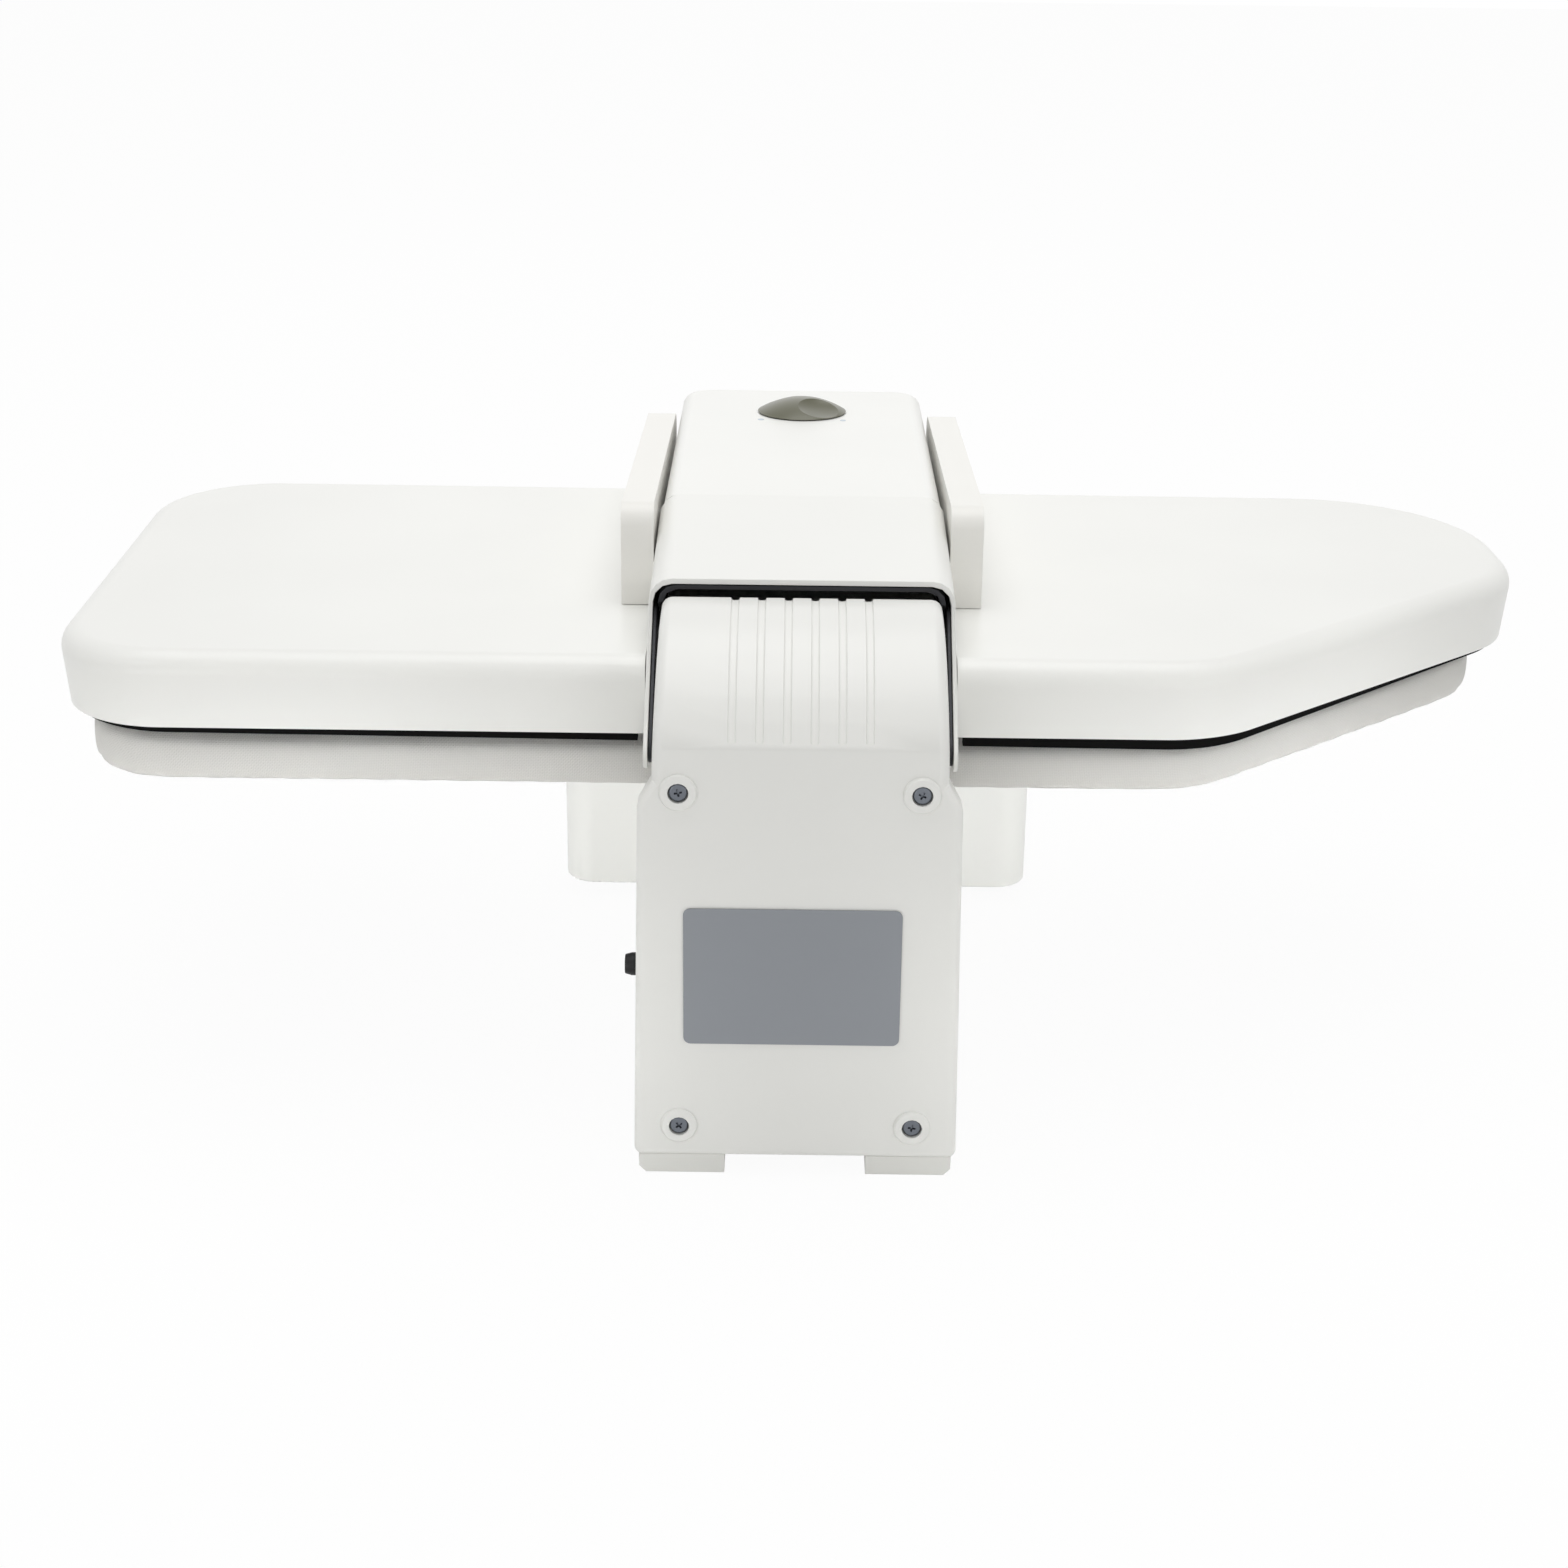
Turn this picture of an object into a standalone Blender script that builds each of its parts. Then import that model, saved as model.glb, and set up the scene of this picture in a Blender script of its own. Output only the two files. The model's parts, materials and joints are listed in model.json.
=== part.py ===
"""Steam ironing press: a padded ironing board below, a heated steam plate above.

The press stands on a table. A column at the back carries a hinged arm that reaches
forward over the board, and the arm carries the heated plate in its hood. The side with
the handle, dial and water tank faces -Y, the column is at +Y, and the pointed end of
the board and plate is at -X.

The pieces are modelled in the press frame: X = 0 is the middle plane of the arm,
Y = 0 is the rear edge of the hood, and Z = 0 is the table. The empty named press_frame
puts them round the origin, which is the bottom centre of the whole press.
Units are metres.
"""
import math

import bmesh
import bpy
from mathutils import Matrix, Vector

# Fits shared by all pieces
SEAT_GAP = 0.0003
RUN_GAP = 0.0004
OVERRUN = 0.003
ARC_STEP = math.radians(15.0)
MIN_FILLET = 0.0005
CORNER_ROOM_SHARE = 0.49
ROUND_PROFILE = 0.5

# Directions and the shares of a face's normal that pick out edges to round
UPWARDS = (0.0, 0.0, 1.0)
OVER_THE_TOP = (0.0, 3.0, 4.0)
INTO_THE_NECK = (0.0, -2.0, -4.0)
SIDE_SHARE = 0.97
ACROSS_SHARE = 0.5
CLOSE_SHARE = 0.9
LOOSE_SHARE = 0.55
NOT_DOWN_SHARE = -0.3
SHARP = 0.0

# Hood outline, seen from above
HOOD_LENGTH = 0.6724
HOOD_DEPTH = 0.292
HOOD_REAR_CORNER = 0.052
HOOD_FRONT_CORNER = 0.060
NOSE_FRONT_CORNER = 0.0896
NOSE_REAR_CORNER = 0.063
NOSE_CUT_CORNER = 0.063
NOSE_CUT_LENGTH = 0.163
NOSE_CUT_DEPTH = 0.1474
LEFT_END_FLARE = 0.005
FRONT_LEAN = 0.0065
HOOD_OFFSET = 0.0065

# Reach of the press in front of and behind the hood's rear edge
FRONT_REACH = 0.359
COLUMN_REACH = 0.0551

# Hood shell
HOOD_RIM_Z = 0.1825
HOOD_HEIGHT = 0.0338
HOOD_WALL = 0.0026
HOOD_EDGE_ROUND = 0.0105
HOOD_TUCK = 0.0020
POCKET_SIDE_GAP = 0.0008
POCKET_DEPTH = 0.040
POCKET_WALL = 0.0024
POCKET_LIP = 0.0036

# Heated plate and what lies on it
PLATE_INSET = 0.009
PLATE_DROP = 0.0028
PLATE_THICKNESS = 0.0082
PLATE_EDGE_ROUND = 0.0020
STEAM_HOLE_RADIUS = 0.0018
STEAM_HOLE_PITCH = 0.042
STEAM_ROW_PITCH = 0.040
STEAM_COLUMNS = 9
STEAM_ROWS = 3
STEAM_HOLE_SIDES = 8
CHAMBER_MARGIN = 0.014
CHAMBER_HEIGHT = 0.010
CHAMBER_WALL = 0.0012
CHAMBER_CORNER = 0.020
ELEMENT_INSET = 0.052
ELEMENT_BEND = 0.018
ELEMENT_RADIUS = 0.0034
ELEMENT_OPENING = 0.060
SPACER_RADIUS = 0.0055
SPACER_FRONT_SHARE = 0.925
CUTOUT_RADIUS = 0.009
CUTOUT_HEIGHT = 0.009

# Ironing board: pan, foam and cover
BOARD_INSET = 0.015
BOARD_LEFT_REACH = 0.005
BOARD_BOTTOM_Z = 0.1517
BOARD_CLEARANCE = 0.0005
COVER_THICKNESS = 0.0011
COVER_LOWER_ROUND = 0.0070
COVER_SHOULDER_DROP = 0.0068
COVER_SHOULDER_WIDTH = 0.034
COVER_HEM = 0.026
PAN_WALL = 0.0014
PAN_HEIGHT = 0.010
PAN_CORNER_SHARE = 0.36
PAN_HOLE_RADIUS = 0.003
PAN_HOLE_PITCH = 0.055
PAN_HOLES_PER_SIDE = 4
FOAM_SIDE_SLOPE = 0.0012

# Column: half widths, levels and the curved top
COLUMN_TOP_HALF = 0.0670
COLUMN_BOTTOM_HALF = 0.0695
NECK_HALF = 0.0611
NECK_TOP_INSET = 0.0016
NECK_EDGE_ROUND = 0.0048
COLUMN_BOTTOM_Z = 0.0093
SHOULDER_LOW_Z = 0.1715
SHOULDER_HIGH_Z = 0.1825
CREASE_Z = 0.1965
NECK_TOP_RADIUS = 0.075
NECK_LEAN = math.radians(24.5)
NECK_STEPS = 8
NECK_UNDERSIDE_Z = 0.2195
COLUMN_FRONT_GAP = 0.0045
COLUMN_WALL = 0.0020
COVER_RETURN = 0.0111
COVER_WALL = 0.0024
COVER_EDGE_ROUND = 0.0030
SHELL_SHOULDER_Z = 0.147
SHELL_INSET = 0.0012
NECK_SHELL_Z = 0.157
CABLE_WINDOW_HEIGHT = 0.066
GROOVE_COUNT = 6
GROOVE_PITCH = 0.0113
GROOVE_WIDTH = 0.0036
GROOVE_DEPTH = 0.0010
GROOVE_ROUND = 0.0009

# Screws and bosses of the rear cover
BOSS_RADIUS = 0.0080
BOSS_RISE = 0.0016
BOSS_WALL_DEPTH = 0.009
BOSS_HALF_SPACING = 0.0500
BOSS_TOP_Z = 0.178
BOSS_LOW_Z = 0.0246
BOSS_BORE = 0.0044
SCREW_HEAD_RADIUS = 0.0040
SCREW_HEAD_HEIGHT = 0.0024
SCREW_SINK = 0.0009
SCREW_SHANK_RADIUS = 0.0017
SCREW_CROSS_WIDTH = 0.0010
SCREW_CROSS_LENGTH = 0.0048
SCREW_CROSS_DEPTH = 0.0012

# Rating plate, left bare
RATING_WIDTH = 0.0914
RATING_HEIGHT = 0.0625
RATING_CENTRE_X = 0.0023
RATING_CENTRE_Z = 0.0952
RATING_CORNER = 0.003
RATING_THICKNESS = 0.0005

# Main hinge, its shaft and the arm's travel
PIVOT_Y = 0.014
PIVOT_Z = 0.191
SHAFT_RADIUS = 0.005
BUSH_RADIUS = 0.0066

# Steel column frame and chassis
FRAME_WALL = 0.0025
CHASSIS_HALF = 0.043
CHASSIS_FLANGE_HEIGHT = 0.050
CHASSIS_WALL = 0.0020
FRAME_TOP_MARGIN = 0.012
FRAME_REAR_GAP = 0.0116
FRAME_FRONT_GAP = 0.0024

# Counterbalance springs and their crank
CRANK_RADIUS = 0.020
CRANK_HUB_RADIUS = 0.0068
CRANK_HUB_HALF = 0.038
CRANK_LEVER_X = 0.014
CRANK_LEVER_THICKNESS = 0.004
CRANK_PIN_RADIUS = 0.0025
CRANK_PIN_HALF = 0.028
SPRING_X = 0.022
SPRING_ANCHOR_Z = 0.064
SPRING_COIL_RADIUS = 0.0052
SPRING_WIRE_RADIUS = 0.0010
SPRING_TURNS = 10
SPRING_STEPS = 8
SPRING_TAIL = 0.008

# Pedestal under the board, front housing and feet
PEDESTAL_BOTTOM_HALF = 0.049
PEDESTAL_TOP_HALF = 0.042
PEDESTAL_TOP_Z = 0.146
PEDESTAL_WALL = 0.0024
PEDESTAL_EDGE_ROUND = 0.005
HOUSING_REAR_Y = -0.245
HOUSING_FRONT_Y = -0.345
HOUSING_HALF = 0.124
HOUSING_BOTTOM_Z = 0.007
HOUSING_TOP_Z = 0.078
HOUSING_REAR_CORNER = 0.016
HOUSING_FRONT_CORNER = 0.030
HOUSING_TOP_ROUND = 0.008
HOUSING_FOOT_ROUND = 0.0012
BRACKET_HALF = 0.036
BRACKET_WIDTH = 0.030
BRACKET_FLANGE = 0.012
BRACKET_WALL = 0.0020
BRACKET_REAR_GAP = 0.0015
BRACKET_FRONT_GAP = 0.0055
REAR_FOOT_INNER = 0.0305
REAR_FOOT_OUTER = 0.0675
REAR_FOOT_FRONT_Y = 0.008
REAR_FOOT_BACK_GAP = 0.0025
REAR_FOOT_CHAMFER = 0.003
FRONT_FOOT_RADIUS = 0.011
FRONT_FOOT_TAPER = 0.0015
FRONT_FOOT_X = 0.098
FRONT_FOOT_Y = -0.318

# Water tank in its bay, valve and pump
BAY_HALF = 0.080
BAY_FLOOR_Z = 0.014
BAY_CEILING_Z = 0.068
BAY_CORNER = 0.006
BAY_BACK_WALL = 0.0055
TANK_SIDE_GAP = 0.0006
TANK_WALL = 0.0022
TANK_BODY_DROP = 0.0035
TANK_FACE_DEPTH = 0.004
TANK_FRONT_BLOCK = 0.012
TANK_BACK_GAP = 0.0055
LID_THICKNESS = 0.0020
LID_SIDE_INSET = 0.004
TANK_RIM_CORNER = 0.001
FILLER_HALF = 0.016
FILLER_DEPTH = 0.014
FILLER_BACK_Y = 0.018
PULL_HALF = 0.028
PULL_HEIGHT = 0.017
PULL_DEPTH = 0.009
PULL_TOP_GAP = 0.008
PULL_CORNER = 0.005
VALVE_Z = 0.030
VALVE_RADIUS = 0.0055
VALVE_BORE = 0.0022
SEAT_FLANGE_RADIUS = 0.009
SEAT_FLANGE_THICKNESS = 0.0016
SEAT_STEM_RADIUS = 0.0055
PUMP_RADIUS = 0.019
PUMP_FRONT_Y = -0.205
PUMP_REAR_Y = -0.130
PUMP_NECK_RADIUS = 0.011
PUMP_SADDLE_HALF = 0.013
PUMP_SADDLE_DEPTH = 0.012
BOARD_PCB_HALF = 0.034
BOARD_PCB_LOW_Z = 0.018
BOARD_PCB_HEIGHT = 0.036
BOARD_PCB_THICKNESS = 0.0016

# Mains button on the column's side and cord grommet on the other side
SWITCH_Y = 0.022
SWITCH_Z = 0.085
SWITCH_FLANGE_RADIUS = 0.0068
SWITCH_FLANGE_THICKNESS = 0.0012
SWITCH_BARREL_RADIUS = 0.0060
SWITCH_DEPTH = 0.018
SWITCH_BORE_DEPTH = 0.012
BUTTON_RADIUS = 0.0050
BUTTON_TIP_RADIUS = 0.0042
BUTTON_RISE = 0.0058
BUTTON_TAPER = 0.0030
BUTTON_TRAVEL = 0.0025
GROMMET_Y = 0.022
GROMMET_Z = 0.032
GROMMET_FLANGE_RADIUS = 0.009
GROMMET_BARREL_RADIUS = 0.007
GROMMET_BORE = 0.0040
GROMMET_FLANGE_THICKNESS = 0.0015
GROMMET_DEPTH = 0.008

# Arm: cover at the back, control box and handle at the front
COVER_HALF = 0.0655
COVER_TOP_WALL = 0.0025
COVER_SIDE_WALL = 0.0018
COVER_TOP_ROUND = 0.010
COVER_REAR_SETBACK = 0.0049
COVER_NECK_GAP = 0.0041
COVER_REAR_ROLL = 0.011
SEAM_Y = -0.119
SEAM_RISE = 0.010
SKIRT_REAR_Y = 0.043
SKIRT_BOTTOM_Z = 0.1786
SKIRT_FRONT_GAP = 0.0025
SKIRT_CORNER = 0.006
SKIRT_NOTCH_Y = -0.030
SKIRT_NOTCH_Z = 0.196
ARM_HOOD_GAP = 0.0022
HINGE_PLATE_WALL = 0.0016
HINGE_PLATE_MARGIN = 0.0013
HINGE_PLATE_FRONT_Y = -0.108
ARM_FRAME_WALL = 0.0018
ARM_FRAME_REAR_GAP = 0.0005
ARM_FRAME_SLANT_REACH = 0.015
ARM_FRAME_SLANT_DROP = 0.0105
ARM_FRAME_FRONT_Y = -0.279
BOX_HALF = 0.0640
BOX_WALL = 0.0022
BOX_STEP = 0.0005
BOX_FRONT_DROP = 0.0034
BOX_TOP_ROUND = 0.0065
BOX_PLAN_CORNER = 0.016
BOX_CHIN_ROUND = 0.0010
BOX_REAR_BOTTOM_Z = 0.2245
BOX_FRONT_BOTTOM_Z = 0.2300
BOX_BASE_THICKNESS = 0.0020
FRAME_BASE_GAP = 0.0008

# Bracket of the plate: cheeks on both sides of the arm, and the tilt pin
CHEEK_INNER = 0.068
CHEEK_OUTER = 0.081
CHEEK_REAR_SHARE = 0.267
CHEEK_FRONT_Y = -0.316
CHEEK_REAR_TOP_Z = 0.2625
CHEEK_FRONT_TOP_Z = 0.2503
CHEEK_REAR_ROUND = 0.006
CHEEK_FRONT_ROUND = 0.012
CHEEK_FOOT_SHARE = 0.945
CHEEK_FRONT_RISE = 0.016
CHEEK_EDGE_ROUND = 0.0025
CHEEK_LEAN = 0.006
CRADLE_FLOOR_THICKNESS = 0.0030
CRADLE_FLOOR_REAR_SHARE = 0.445
CRADLE_FLOOR_FRONT_SHARE = 0.925
LEDGE_INNER = 0.0656
LEDGE_REAR_SHARE = 0.736
LEDGE_DROP = 0.004
TILT_Y = -0.150
TILT_Z = 0.238
TILT_PIN_RADIUS = 0.004
TILT_PIN_SINK = 0.003

# Dial, thermostat, steam button and lamps in the control box
DIAL_Y = -0.300
DIAL_RADIUS = 0.023
DIAL_HEIGHT = 0.0085
DIAL_SKIRT_HEIGHT = 0.0012
DIAL_CROWN_SHARE = 0.16
DIAL_FIN_WIDTH = 0.0050
DIAL_SCOOP_RADIUS = 0.026
DIAL_SCOOP_SHIFT = 0.006
DIAL_SCOOP_FLATTEN_SHARE = 0.40
DIAL_FIN_ANGLE = math.radians(-28.0)
DIAL_STEM_RADIUS = 0.003
DIAL_STEM_LENGTH = 0.010
DIAL_LIFT = 0.0006
THERMOSTAT_RADIUS = 0.015
THERMOSTAT_HEIGHT = 0.0105
STEAM_BUTTON_HALF = 0.018
STEAM_BUTTON_HEIGHT = 0.0074
STEAM_BUTTON_DEPTH = 0.012
STEAM_BUTTON_CORNER = 0.003
STEAM_BUTTON_Z = 0.2380
LAMP_X = 0.028
LAMP_RADIUS = 0.0024
LAMP_DEPTH = 0.007

# Levels and places that follow from the sizes above
HOOD_MID_X = -HOOD_OFFSET
HOOD_TOP_Z = HOOD_RIM_Z + HOOD_HEIGHT
PLATE_SOLE_Z = HOOD_RIM_Z - PLATE_DROP
PLATE_TOP_Z = PLATE_SOLE_Z + PLATE_THICKNESS
BOARD_TOP_Z = PLATE_SOLE_Z - BOARD_CLEARANCE
HEM_REACH = BOARD_INSET + COVER_LOWER_ROUND + COVER_HEM
BRACKET_REAR_Y = -HEM_REACH - BRACKET_REAR_GAP - BRACKET_WIDTH / 2
BRACKET_FRONT_Y = FRONT_LEAN - HOOD_DEPTH + HEM_REACH + BRACKET_FRONT_GAP + BRACKET_WIDTH / 2
CHAMBER_REAR_Y = CHAMBER_MARGIN + STEAM_ROW_PITCH * (STEAM_ROWS - 1) / 2 - HOOD_DEPTH / 2
SPACER_REAR_Y = (CHAMBER_REAR_Y - ELEMENT_INSET - ELEMENT_RADIUS) / 2
SPACER_FRONT_Y = -HOOD_DEPTH * SPACER_FRONT_SHARE
CHEEK_REAR_Y = -HOOD_DEPTH * CHEEK_REAR_SHARE
CHEEK_FOOT_FRONT_Y = -HOOD_DEPTH * CHEEK_FOOT_SHARE
LEDGE_REAR_Y = -HOOD_DEPTH * LEDGE_REAR_SHARE
COLUMN_FRONT_Y = COLUMN_FRONT_GAP
COLUMN_REAR_Y = COLUMN_REACH
FRONT_Y = -FRONT_REACH
REAR_REACH = COLUMN_REACH + BOSS_RISE
PRESS_SHIFT_Y = (FRONT_REACH - REAR_REACH) / 2
NECK_CENTRE_Y = COLUMN_REAR_Y - NECK_TOP_RADIUS * math.cos(NECK_LEAN)
NECK_CENTRE_Z = CREASE_Z - NECK_TOP_RADIUS * math.sin(NECK_LEAN)
NECK_TOP_Z = NECK_CENTRE_Z + NECK_TOP_RADIUS
COVER_REAR_Y = NECK_CENTRE_Y - COVER_REAR_SETBACK
COVER_REAR_Z = NECK_TOP_Z + COVER_NECK_GAP + COVER_TOP_WALL
COVER_REAR_SIDE_Z = COVER_REAR_Z - COVER_REAR_ROLL
SEAM_Z = COVER_REAR_Z + SEAM_RISE
ARM_FRAME_REAR_Y = COVER_REAR_Y - ARM_FRAME_REAR_GAP
ARM_FRAME_SLANT_Y = ARM_FRAME_REAR_Y - ARM_FRAME_SLANT_REACH
ARM_FRAME_SLANT_Z = COVER_REAR_Z - ARM_FRAME_SLANT_DROP
COVER_SPLIT_Y = COLUMN_REAR_Y - COVER_RETURN
COLUMN_TAPER = (COLUMN_BOTTOM_HALF - COLUMN_TOP_HALF) / (SHOULDER_LOW_Z - COLUMN_BOTTOM_Z)
BOX_REAR_Y = SEAM_Y - SEAT_GAP
BOX_REAR_TOP_Z = SEAM_Z - BOX_STEP
BOX_SLOPE = BOX_FRONT_DROP / (BOX_REAR_Y - FRONT_Y)
BOX_BOTTOM_SLOPE = (BOX_FRONT_BOTTOM_Z - BOX_REAR_BOTTOM_Z) / (BOX_REAR_Y - FRONT_Y)
COVER_SLOPE = (SEAM_Z - COVER_REAR_Z) / (COVER_REAR_Y - SEAM_Y)
POCKET_HALF = COVER_HALF + POCKET_SIDE_GAP
CHASSIS_Z = COLUMN_BOTTOM_Z + SEAT_GAP
CHASSIS_REAR_Y = COLUMN_REAR_Y - FRAME_REAR_GAP - FRAME_WALL - SEAT_GAP
PEDESTAL_REAR_Y = COLUMN_FRONT_Y - SEAT_GAP
PEDESTAL_FRONT_Y = HOUSING_REAR_Y + SEAT_GAP
BAY_BACK_Y = HOUSING_REAR_Y - BAY_BACK_WALL
TANK_BACK_Y = BAY_BACK_Y - TANK_BACK_GAP
TANK_LOW_Z = BAY_FLOOR_Z + TANK_SIDE_GAP
TANK_FACE_TOP_Z = BAY_CEILING_Z - TANK_SIDE_GAP
TANK_BODY_TOP_Z = TANK_FACE_TOP_Z - TANK_BODY_DROP
TANK_HALF = BAY_HALF - TANK_SIDE_GAP
TANK_FACE_BACK_Y = HOUSING_FRONT_Y + TANK_FACE_DEPTH
PLASTIC = (0.845, 0.845, 0.812)


def material(name, colour, roughness, metallic=0.0):
    """Return a Principled BSDF material."""
    made = bpy.data.materials.new(name)
    made.use_nodes = True
    shader = made.node_tree.nodes["Principled BSDF"]
    shader.inputs["Base Color"].default_value = (*colour, 1.0)
    shader.inputs["Roughness"].default_value = roughness
    shader.inputs["Metallic"].default_value = metallic
    return made


def white_plastic():
    return material("white_plastic", PLASTIC, 0.28)


def satin_plastic():
    return material("satin_plastic", (0.74, 0.735, 0.70), 0.42)


def black_plastic():
    return material("black_plastic", (0.02, 0.02, 0.021), 0.45)


def dark_steel():
    return material("dark_steel", (0.03, 0.03, 0.032), 0.5, 0.6)


def bright_steel():
    return material("bright_steel", (0.55, 0.56, 0.58), 0.3, 1.0)


# Sketching tools


def fillet(corners, radii):
    """Round the corners of a counter-clockwise outline; a radius of zero leaves one sharp."""
    points = []
    count = len(corners)
    for index, corner in enumerate(corners):
        if radii[index] <= SHARP:
            points.append(tuple(corner))
            continue
        here = Vector(corner)
        before = here - Vector(corners[index - 1])
        after = Vector(corners[(index + 1) % count]) - here
        turn = before.angle_signed(after)
        half_tangent = math.tan(abs(turn) / 2)
        room = CORNER_ROOM_SHARE * min(before.length, after.length)
        radius = min(radii[index], room / half_tangent)
        steps = max(2, round(abs(turn) / ARC_STEP))
        before.normalize()
        after.normalize()
        start = here - before * radius * half_tangent
        side = Vector((-before.y, before.x)) * (-1 if turn > 0 else 1)
        centre = start + side * radius
        for step in range(steps + 1):
            spin = Matrix.Rotation(-turn * step / steps, 2)
            points.append(tuple(centre + spin @ (start - centre)))
    return points


def inset_corners(corners, inset):
    """Move every edge of a convex counter-clockwise outline inwards."""
    moved = []
    count = len(corners)
    for index, corner in enumerate(corners):
        here = Vector(corner)
        before = (here - Vector(corners[index - 1])).normalized()
        after = (Vector(corners[(index + 1) % count]) - here).normalized()
        inward = Vector((-before.y, before.x)) + Vector((-after.y, after.x))
        reach = inset / (inward.length / 2)
        moved.append(tuple(here + inward.normalized() * reach))
    return moved


def rectangle(low_a, high_a, low_b, high_b):
    return [(low_a, low_b), (high_a, low_b), (high_a, high_b), (low_a, high_b)]


def rounded_rectangle(low_a, high_a, low_b, high_b, radius):
    return fillet(rectangle(low_a, high_a, low_b, high_b), [radius] * 4)


def plan_outline(inset, least=MIN_FILLET, left_reach=0.0):
    """Outline shared by hood, plate and board, moved inwards by an inset."""
    left = HOOD_MID_X + HOOD_LENGTH / 2 + left_reach
    nose = HOOD_MID_X - HOOD_LENGTH / 2
    corners = [(left - LEFT_END_FLARE, 0.0), (nose + NOSE_CUT_LENGTH, 0.0),
               (nose, -NOSE_CUT_DEPTH), (nose, FRONT_LEAN - HOOD_DEPTH), (left, -HOOD_DEPTH)]
    radii = [HOOD_REAR_CORNER, NOSE_CUT_CORNER, NOSE_REAR_CORNER,
             NOSE_FRONT_CORNER, HOOD_FRONT_CORNER]
    return fillet(inset_corners(corners, inset),
                  [max(radius - inset, least) for radius in radii])


def hood_centring():
    """Shift along X that puts the hood's outline evenly about the middle."""
    places = [x for x, _ in plan_outline(0.0)]
    return -(min(places) + max(places)) / 2


def plan_ring(inset, height):
    return [Vector((x, y, height)) for x, y in plan_outline(inset)]


def board_ring(inset, height):
    outline = plan_outline(inset, left_reach=BOARD_LEFT_REACH)
    return [Vector((x, y, height)) for x, y in outline]


def quarter_round(inset, low, width, height, steps):
    """Insets and levels of a quarter ellipse that rises from a wall to a flat top."""
    turns = [math.pi / 2 * step / steps for step in range(steps + 1)]
    return [(inset + width * (1 - math.cos(turn)), low + height * math.sin(turn))
            for turn in turns]


# Mesh tools


def make_object(name, mesh_data, look):
    """Turn a bmesh into an object whose faces all point outwards."""
    bmesh.ops.recalc_face_normals(mesh_data, faces=mesh_data.faces)
    mesh = bpy.data.meshes.new(name)
    mesh_data.to_mesh(mesh)
    mesh_data.free()
    made = bpy.data.objects.new(name, mesh)
    bpy.context.collection.objects.link(made)
    if look is not None:
        mesh.materials.append(look)
    return made


def loft(name, rings, look, looped=False):
    """Skin a row of rings that have the same count of points."""
    mesh_data = bmesh.new()
    rows = [[mesh_data.verts.new(point) for point in ring] for ring in rings]
    pairs = list(zip(rows, rows[1:]))
    if looped:
        pairs.append((rows[-1], rows[0]))
    count = len(rows[0])
    for low, high in pairs:
        for index in range(count):
            following = (index + 1) % count
            mesh_data.faces.new((low[index], low[following], high[following], high[index]))
    if not looped:
        mesh_data.faces.new(rows[0])
        mesh_data.faces.new(rows[-1])
    return make_object(name, mesh_data, look)


def prism(name, outline, axis, low, high, look):
    """Extrude an outline along x, y or z between two places."""
    orders = {"x": lambda a, b, along: (along, a, b),
              "y": lambda a, b, along: (a, along, b),
              "z": lambda a, b, along: (a, b, along)}
    place = orders[axis]
    mesh_data = bmesh.new()
    verts = [mesh_data.verts.new(place(a, b, low)) for a, b in outline]
    face = mesh_data.faces.new(verts)
    grown = bmesh.ops.extrude_face_region(mesh_data, geom=[face])
    moved = [item for item in grown["geom"] if isinstance(item, bmesh.types.BMVert)]
    bmesh.ops.translate(mesh_data, verts=moved, vec=Vector(place(0.0, 0.0, high - low)))
    return make_object(name, mesh_data, look)


def turned(name, profile, centre, axis, look, sides=16, bored=False):
    """Turn a profile of (radius, distance along the axis) about an axis."""
    turn = Vector(axis).to_track_quat("Z", "Y")
    rings = []
    for radius, along in profile:
        ring = []
        for side in range(sides):
            angle = 2 * math.pi * side / sides
            spot = Vector((radius * math.cos(angle), radius * math.sin(angle), along))
            ring.append(Vector(centre) + turn @ spot)
        rings.append(ring)
    made = loft(name, rings, look, looped=bored)
    smooth(made)
    return made


def tube_profile(outer, inner, low, high):
    return [(inner, low), (outer, low), (outer, high), (inner, high)]


def bake(target):
    """Replace an object's mesh by its evaluated one."""
    bpy.context.view_layer.update()
    graph = bpy.context.evaluated_depsgraph_get()
    mesh = bpy.data.meshes.new_from_object(target.evaluated_get(graph))
    spent = target.data
    target.modifiers.clear()
    target.data = mesh
    mesh.name = target.name
    bpy.data.meshes.remove(spent)


def combine(target, other, operation):
    """Unite, cut or intersect an object with another, which is used up."""
    step = target.modifiers.new(operation.lower(), "BOOLEAN")
    step.operation = operation
    step.solver = "EXACT"
    step.object = other
    bake(target)
    spent = other.data
    bpy.data.objects.remove(other)
    bpy.data.meshes.remove(spent)
    return target


def cut(target, *cutters):
    for cutter in cutters:
        combine(target, cutter, "DIFFERENCE")
    return target


def unite(target, *others):
    for other in others:
        combine(target, other, "UNION")
    return target


def round_edges(target, radius, segments, chosen):
    """Round the edges that a test picks out."""
    mesh_data = bmesh.new()
    mesh_data.from_mesh(target.data)
    edges = [edge for edge in mesh_data.edges if chosen(edge)]
    bmesh.ops.bevel(mesh_data, geom=edges, offset=radius, segments=segments,
                    profile=ROUND_PROFILE, affect="EDGES", clamp_overlap=True)
    mesh_data.to_mesh(target.data)
    mesh_data.free()
    return target


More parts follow.
